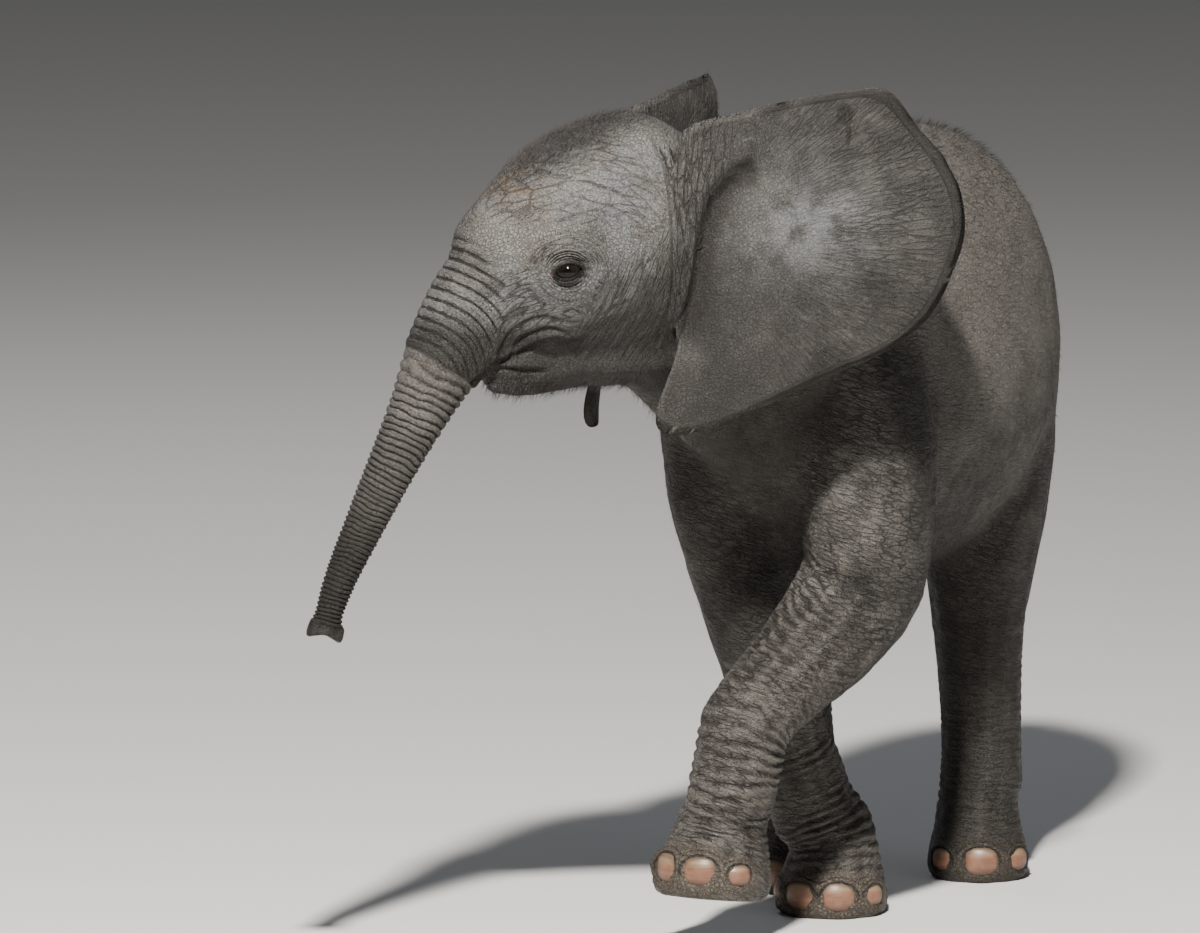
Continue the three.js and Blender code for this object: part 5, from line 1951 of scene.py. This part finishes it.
# %% Strew hairs
SEED = 4
STRAY = 0.28
ROOT_SINK = 0.0006  # so that no hair floats over a groove
rng = np.random.default_rng(SEED)
skin.data.calc_loop_triangles()
corners = np.empty(len(skin.data.loop_triangles) * 3, int)
skin.data.loop_triangles.foreach_get("vertices", corners)
corners = corners.reshape(-1, 3)
one, two, three = [places[corners[:, k]] for k in range(3)]
areas = np.linalg.norm(np.cross(two - one, three - one), axis=1) / 2


def grow_coat(name, count, weight, length, lift, radius):
    """Strew hairs over the skin by weight, with a length and a lift at every vertex."""
    chance = areas * weight[corners].mean(axis=1)
    chosen = rng.choice(len(corners), count, p=chance / chance.sum())
    shares = rng.dirichlet((1, 1, 1), count)

    def at(values):
        values = values[corners[chosen]]
        return (values * (shares[..., None] if values.ndim == 3 else shares)).sum(axis=1)
    normal = unit(at(facing))
    roots = at(places) - normal * ROOT_SINK
    lay = unit(at(lie))
    lay = unit(lay - normal * (lay * normal).sum(axis=1)[:, None] + 1e-6)
    stray = unit(rng.normal(size=(count, 3)))
    lifted = at(lift)[:, None]
    way = unit(normal * lifted + lay * (1.15 - lifted) + STRAY * stray)
    lengths = at(length) * rng.uniform(0.55, 1.2, count)
    made = strands(name, roots, way, lay + 0.3 * stray, lengths, radius, unwrapped_at(roots))
    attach(made, "root")
    made.data.materials.append(hair.material)
    return made


print("hairs can grow on", len(corners), "triangles,", round(float(areas.sum()), 2), "square metres")

# %% [markdown]
# A coat is a count, a weight, a length, a lift and a thickness. The head, the back, the legs and the ears
# get one each, as a piece must stay small and their hair is not alike.

# %% Grow the coat
COUNTS = {"head": 9500, "back": 13000, "leg": 7000, "ear": 3500}
THICK = {"head": 0.00026, "back": 0.00027, "leg": 0.00024, "ear": 0.00024, "lash": 0.00022, "brush": 0.00042}
hair = Nodes("elephant_hair")
hair_at = hair.add("TexCoord").outputs["Object"]
hair_tone = hair.blend(hair.ramp(hair.noise(hair_at, 25.0), 0.35, 0.65), colour(0.008, 0.0065, 0.0055),
                       colour(0.028, 0.022, 0.018))
hair.give(hair.shader.inputs["Base Color"], hair_tone)
hair.shader.inputs["Roughness"].default_value = 0.45

head_weight = on_head * off_eyes * (0.13 + 0.60 * on_crown + 0.45 * on_chin + 0.25 * ease(upward, 0.3, 0.9))
head_weight += 0.30 * on_ear * (1 - ease(ear_far, 0.03, 0.16)) + on_trunk * 0.05
head_length = 0.0046 + 0.0075 * on_crown + 0.0100 * on_chin - 0.0015 * on_trunk
head_lift = np.clip(0.42 + 0.25 * on_crown + 0.25 * on_chin, 0, 1)
grow_coat("head_hair", COUNTS["head"], head_weight, head_length, head_lift, THICK["head"])

ridge = on_body * ease(upward, 0.25, 0.95)
under = on_body * ease(-upward, 0.25, 0.9)
body_weight = on_body * 0.22 + 0.9 * ridge + 0.7 * under
body_length = 0.0085 + 0.0065 * ridge + 0.0100 * under - 0.003 * all_legs
body_lift = np.clip(0.38 + 0.35 * ridge + 0.25 * under, 0, 1)
grow_coat("back_hair", COUNTS["back"], body_weight, body_length, body_lift, THICK["back"])

leg_weight = all_legs * ease(z, 0.06, 0.16) * (0.4 + 0.5 * ease(z, 0.25, 0.5)) + 0.15 * part("tail")
leg_length = 0.0045 + 0.0040 * ease(z, 0.2, 0.5)
leg_lift = np.full(len(z), 0.34)
grow_coat("leg_hair", COUNTS["leg"], leg_weight, leg_length, leg_lift, THICK["leg"])

ear_edge = on_ear * (1 - ease(abs(facing @ np.array(LEFT)), 0.25, 0.7)) * ease(high, -0.05, 0.1)
ear_weight = 0.06 * on_ear + 2.0 * ear_edge
ear_length = 0.004 + 0.004 * ear_edge
ear_lift = np.full(len(z), 0.55)
grow_coat("ear_hair", COUNTS["ear"], ear_weight, ear_length, ear_lift, THICK["ear"])

# %% [markdown]
# Long lashes hang over the eye from the upper lid's edge: a row of roots along the opening, with a little
# disorder.

# %% Lashes
LASHES = 46
for eye in eyes:
    turns = np.linspace(math.radians(14), math.radians(166), LASHES) + rng.normal(0, 0.02, LASHES)
    roots, ways = [], []
    for turn in turns:
        u, w = almond(turn, 0.0006)
        roots.append(eye.place(u, w, lid_height(u, w) - 0.0004))
        ways.append(eye.out + eye.along * u * 22 - eye.up * 0.25)
    roots, ways = np.array(roots), np.array(ways) + 0.10 * rng.normal(size=(LASHES, 3))
    fall = np.array(-eye.up * 0.8 + eye.out * 0.35)
    falls = np.tile(fall, (LASHES, 1)) + 0.12 * rng.normal(size=(LASHES, 3))
    lengths = rng.uniform(0.007, 0.012, LASHES)
    lash = strands(
        eye.node + "_lashes", roots, ways, falls, lengths, THICK["lash"], unwrapped_at(roots), bends=3)
    lash.data.materials.append(hair.material)
    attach(lash, "root")

# %% [markdown]
# The tail ends in a flat brush of long, coarse hair, which grows from its last few centimetres. The frame's
# solid in its place says how far the hairs reach.

# %% The tail's brush
BRUSH_HAIRS = 700
BRUSH_REACH = 0.05  # how far up the tail the brush starts
brush_low, brush_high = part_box("tail_tuft")
along_tail = rng.uniform(tail_line.total - BRUSH_REACH, tail_line.total, BRUSH_HAIRS)
tail_side = rng.choice([-1.0, 1.0], BRUSH_HAIRS)
roots = np.array([tail_line.place(s) for s in along_tail])
roots = roots + 0.004 * rng.normal(size=(BRUSH_HAIRS, 3)) * [0.7, 1, 0.4]
tips = np.stack([
    rng.uniform(brush_low.x + 0.001, brush_high.x - 0.001, BRUSH_HAIRS),
    rng.uniform(brush_low.y + 0.004, brush_high.y - 0.004, BRUSH_HAIRS),
    brush_low.z + 0.006 + 0.06 * rng.random(BRUSH_HAIRS) ** 1.6], axis=1)
ways = tips - roots + 0.010 * tail_side[:, None] * np.array([0.0, 1.0, 0.0])
downwards = np.tile([0.0, 0.0, -1.0], (BRUSH_HAIRS, 1))
lengths = np.linalg.norm(tips - roots, axis=1) * 0.86
brush = strands(
    "tail_brush", roots, ways, downwards, lengths, THICK["brush"], unwrapped_at(roots), bends=3)
brush.data.materials.append(hair.material)
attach(brush, "root")
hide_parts("tail_tuft")
chart_mesh.free()
bpy.data.objects.remove(chart)

# %% [markdown]
# ## Floor and light
# A small, bright light above the camera stands for the sun, and throws the ear's crisp shadow on the
# shoulder. A Sun lamp would do that too, but would light the floor as brightly to the horizon. A wide light
# behind rims the back, and a weak one and the world fill the shadows.

# %% Floor and lights
FLOOR_SIZE = 40
LIT_PLACE = Vector((0, -0.05, 0.55))
LAMPS = {  # turn from the camera and rise, both in degrees, distance, size, power, colour
    "key": (-5, 43, 6.0, 0.35, 1250, (1.0, 0.96, 0.90)),
    "back": (200, 38, 6.0, 3.0, 60, (0.90, 0.94, 1.0)),
    "fill": (55, 25, 6.0, 4.0, 22, (0.86, 0.92, 1.0)),
}
SKY = colour(0.74, 0.80, 0.88)
SKY_STRENGTH = 0.085
paint = Nodes("floor")
paint.shader.inputs["Base Color"].default_value = colour(0.62, 0.61, 0.59)
paint.shader.inputs["Roughness"].default_value = 0.8
bpy.ops.mesh.primitive_plane_add(size=FLOOR_SIZE)
floor = bpy.context.object
floor.name = "floor"
floor.data.materials.append(paint.material)

for name, (turn, rise, distance, size, watts, tint) in LAMPS.items():
    light = bpy.data.lights.new(name, "AREA")
    light.size, light.energy, light.color = size, watts, tint
    lamp = bpy.data.objects.new(name, light)
    bpy.context.scene.collection.objects.link(lamp)
    lamp.location = LIT_PLACE + towards(VIEW_TURN + math.radians(turn), math.radians(rise)) * distance
    lamp.rotation_euler = (LIT_PLACE - lamp.location).to_track_quat("-Z", "Y").to_euler()
world = bpy.data.worlds.new("studio")
world.use_nodes = True
world.node_tree.nodes["Background"].inputs["Color"].default_value = SKY
world.node_tree.nodes["Background"].inputs["Strength"].default_value = SKY_STRENGTH
bpy.context.scene.world = world
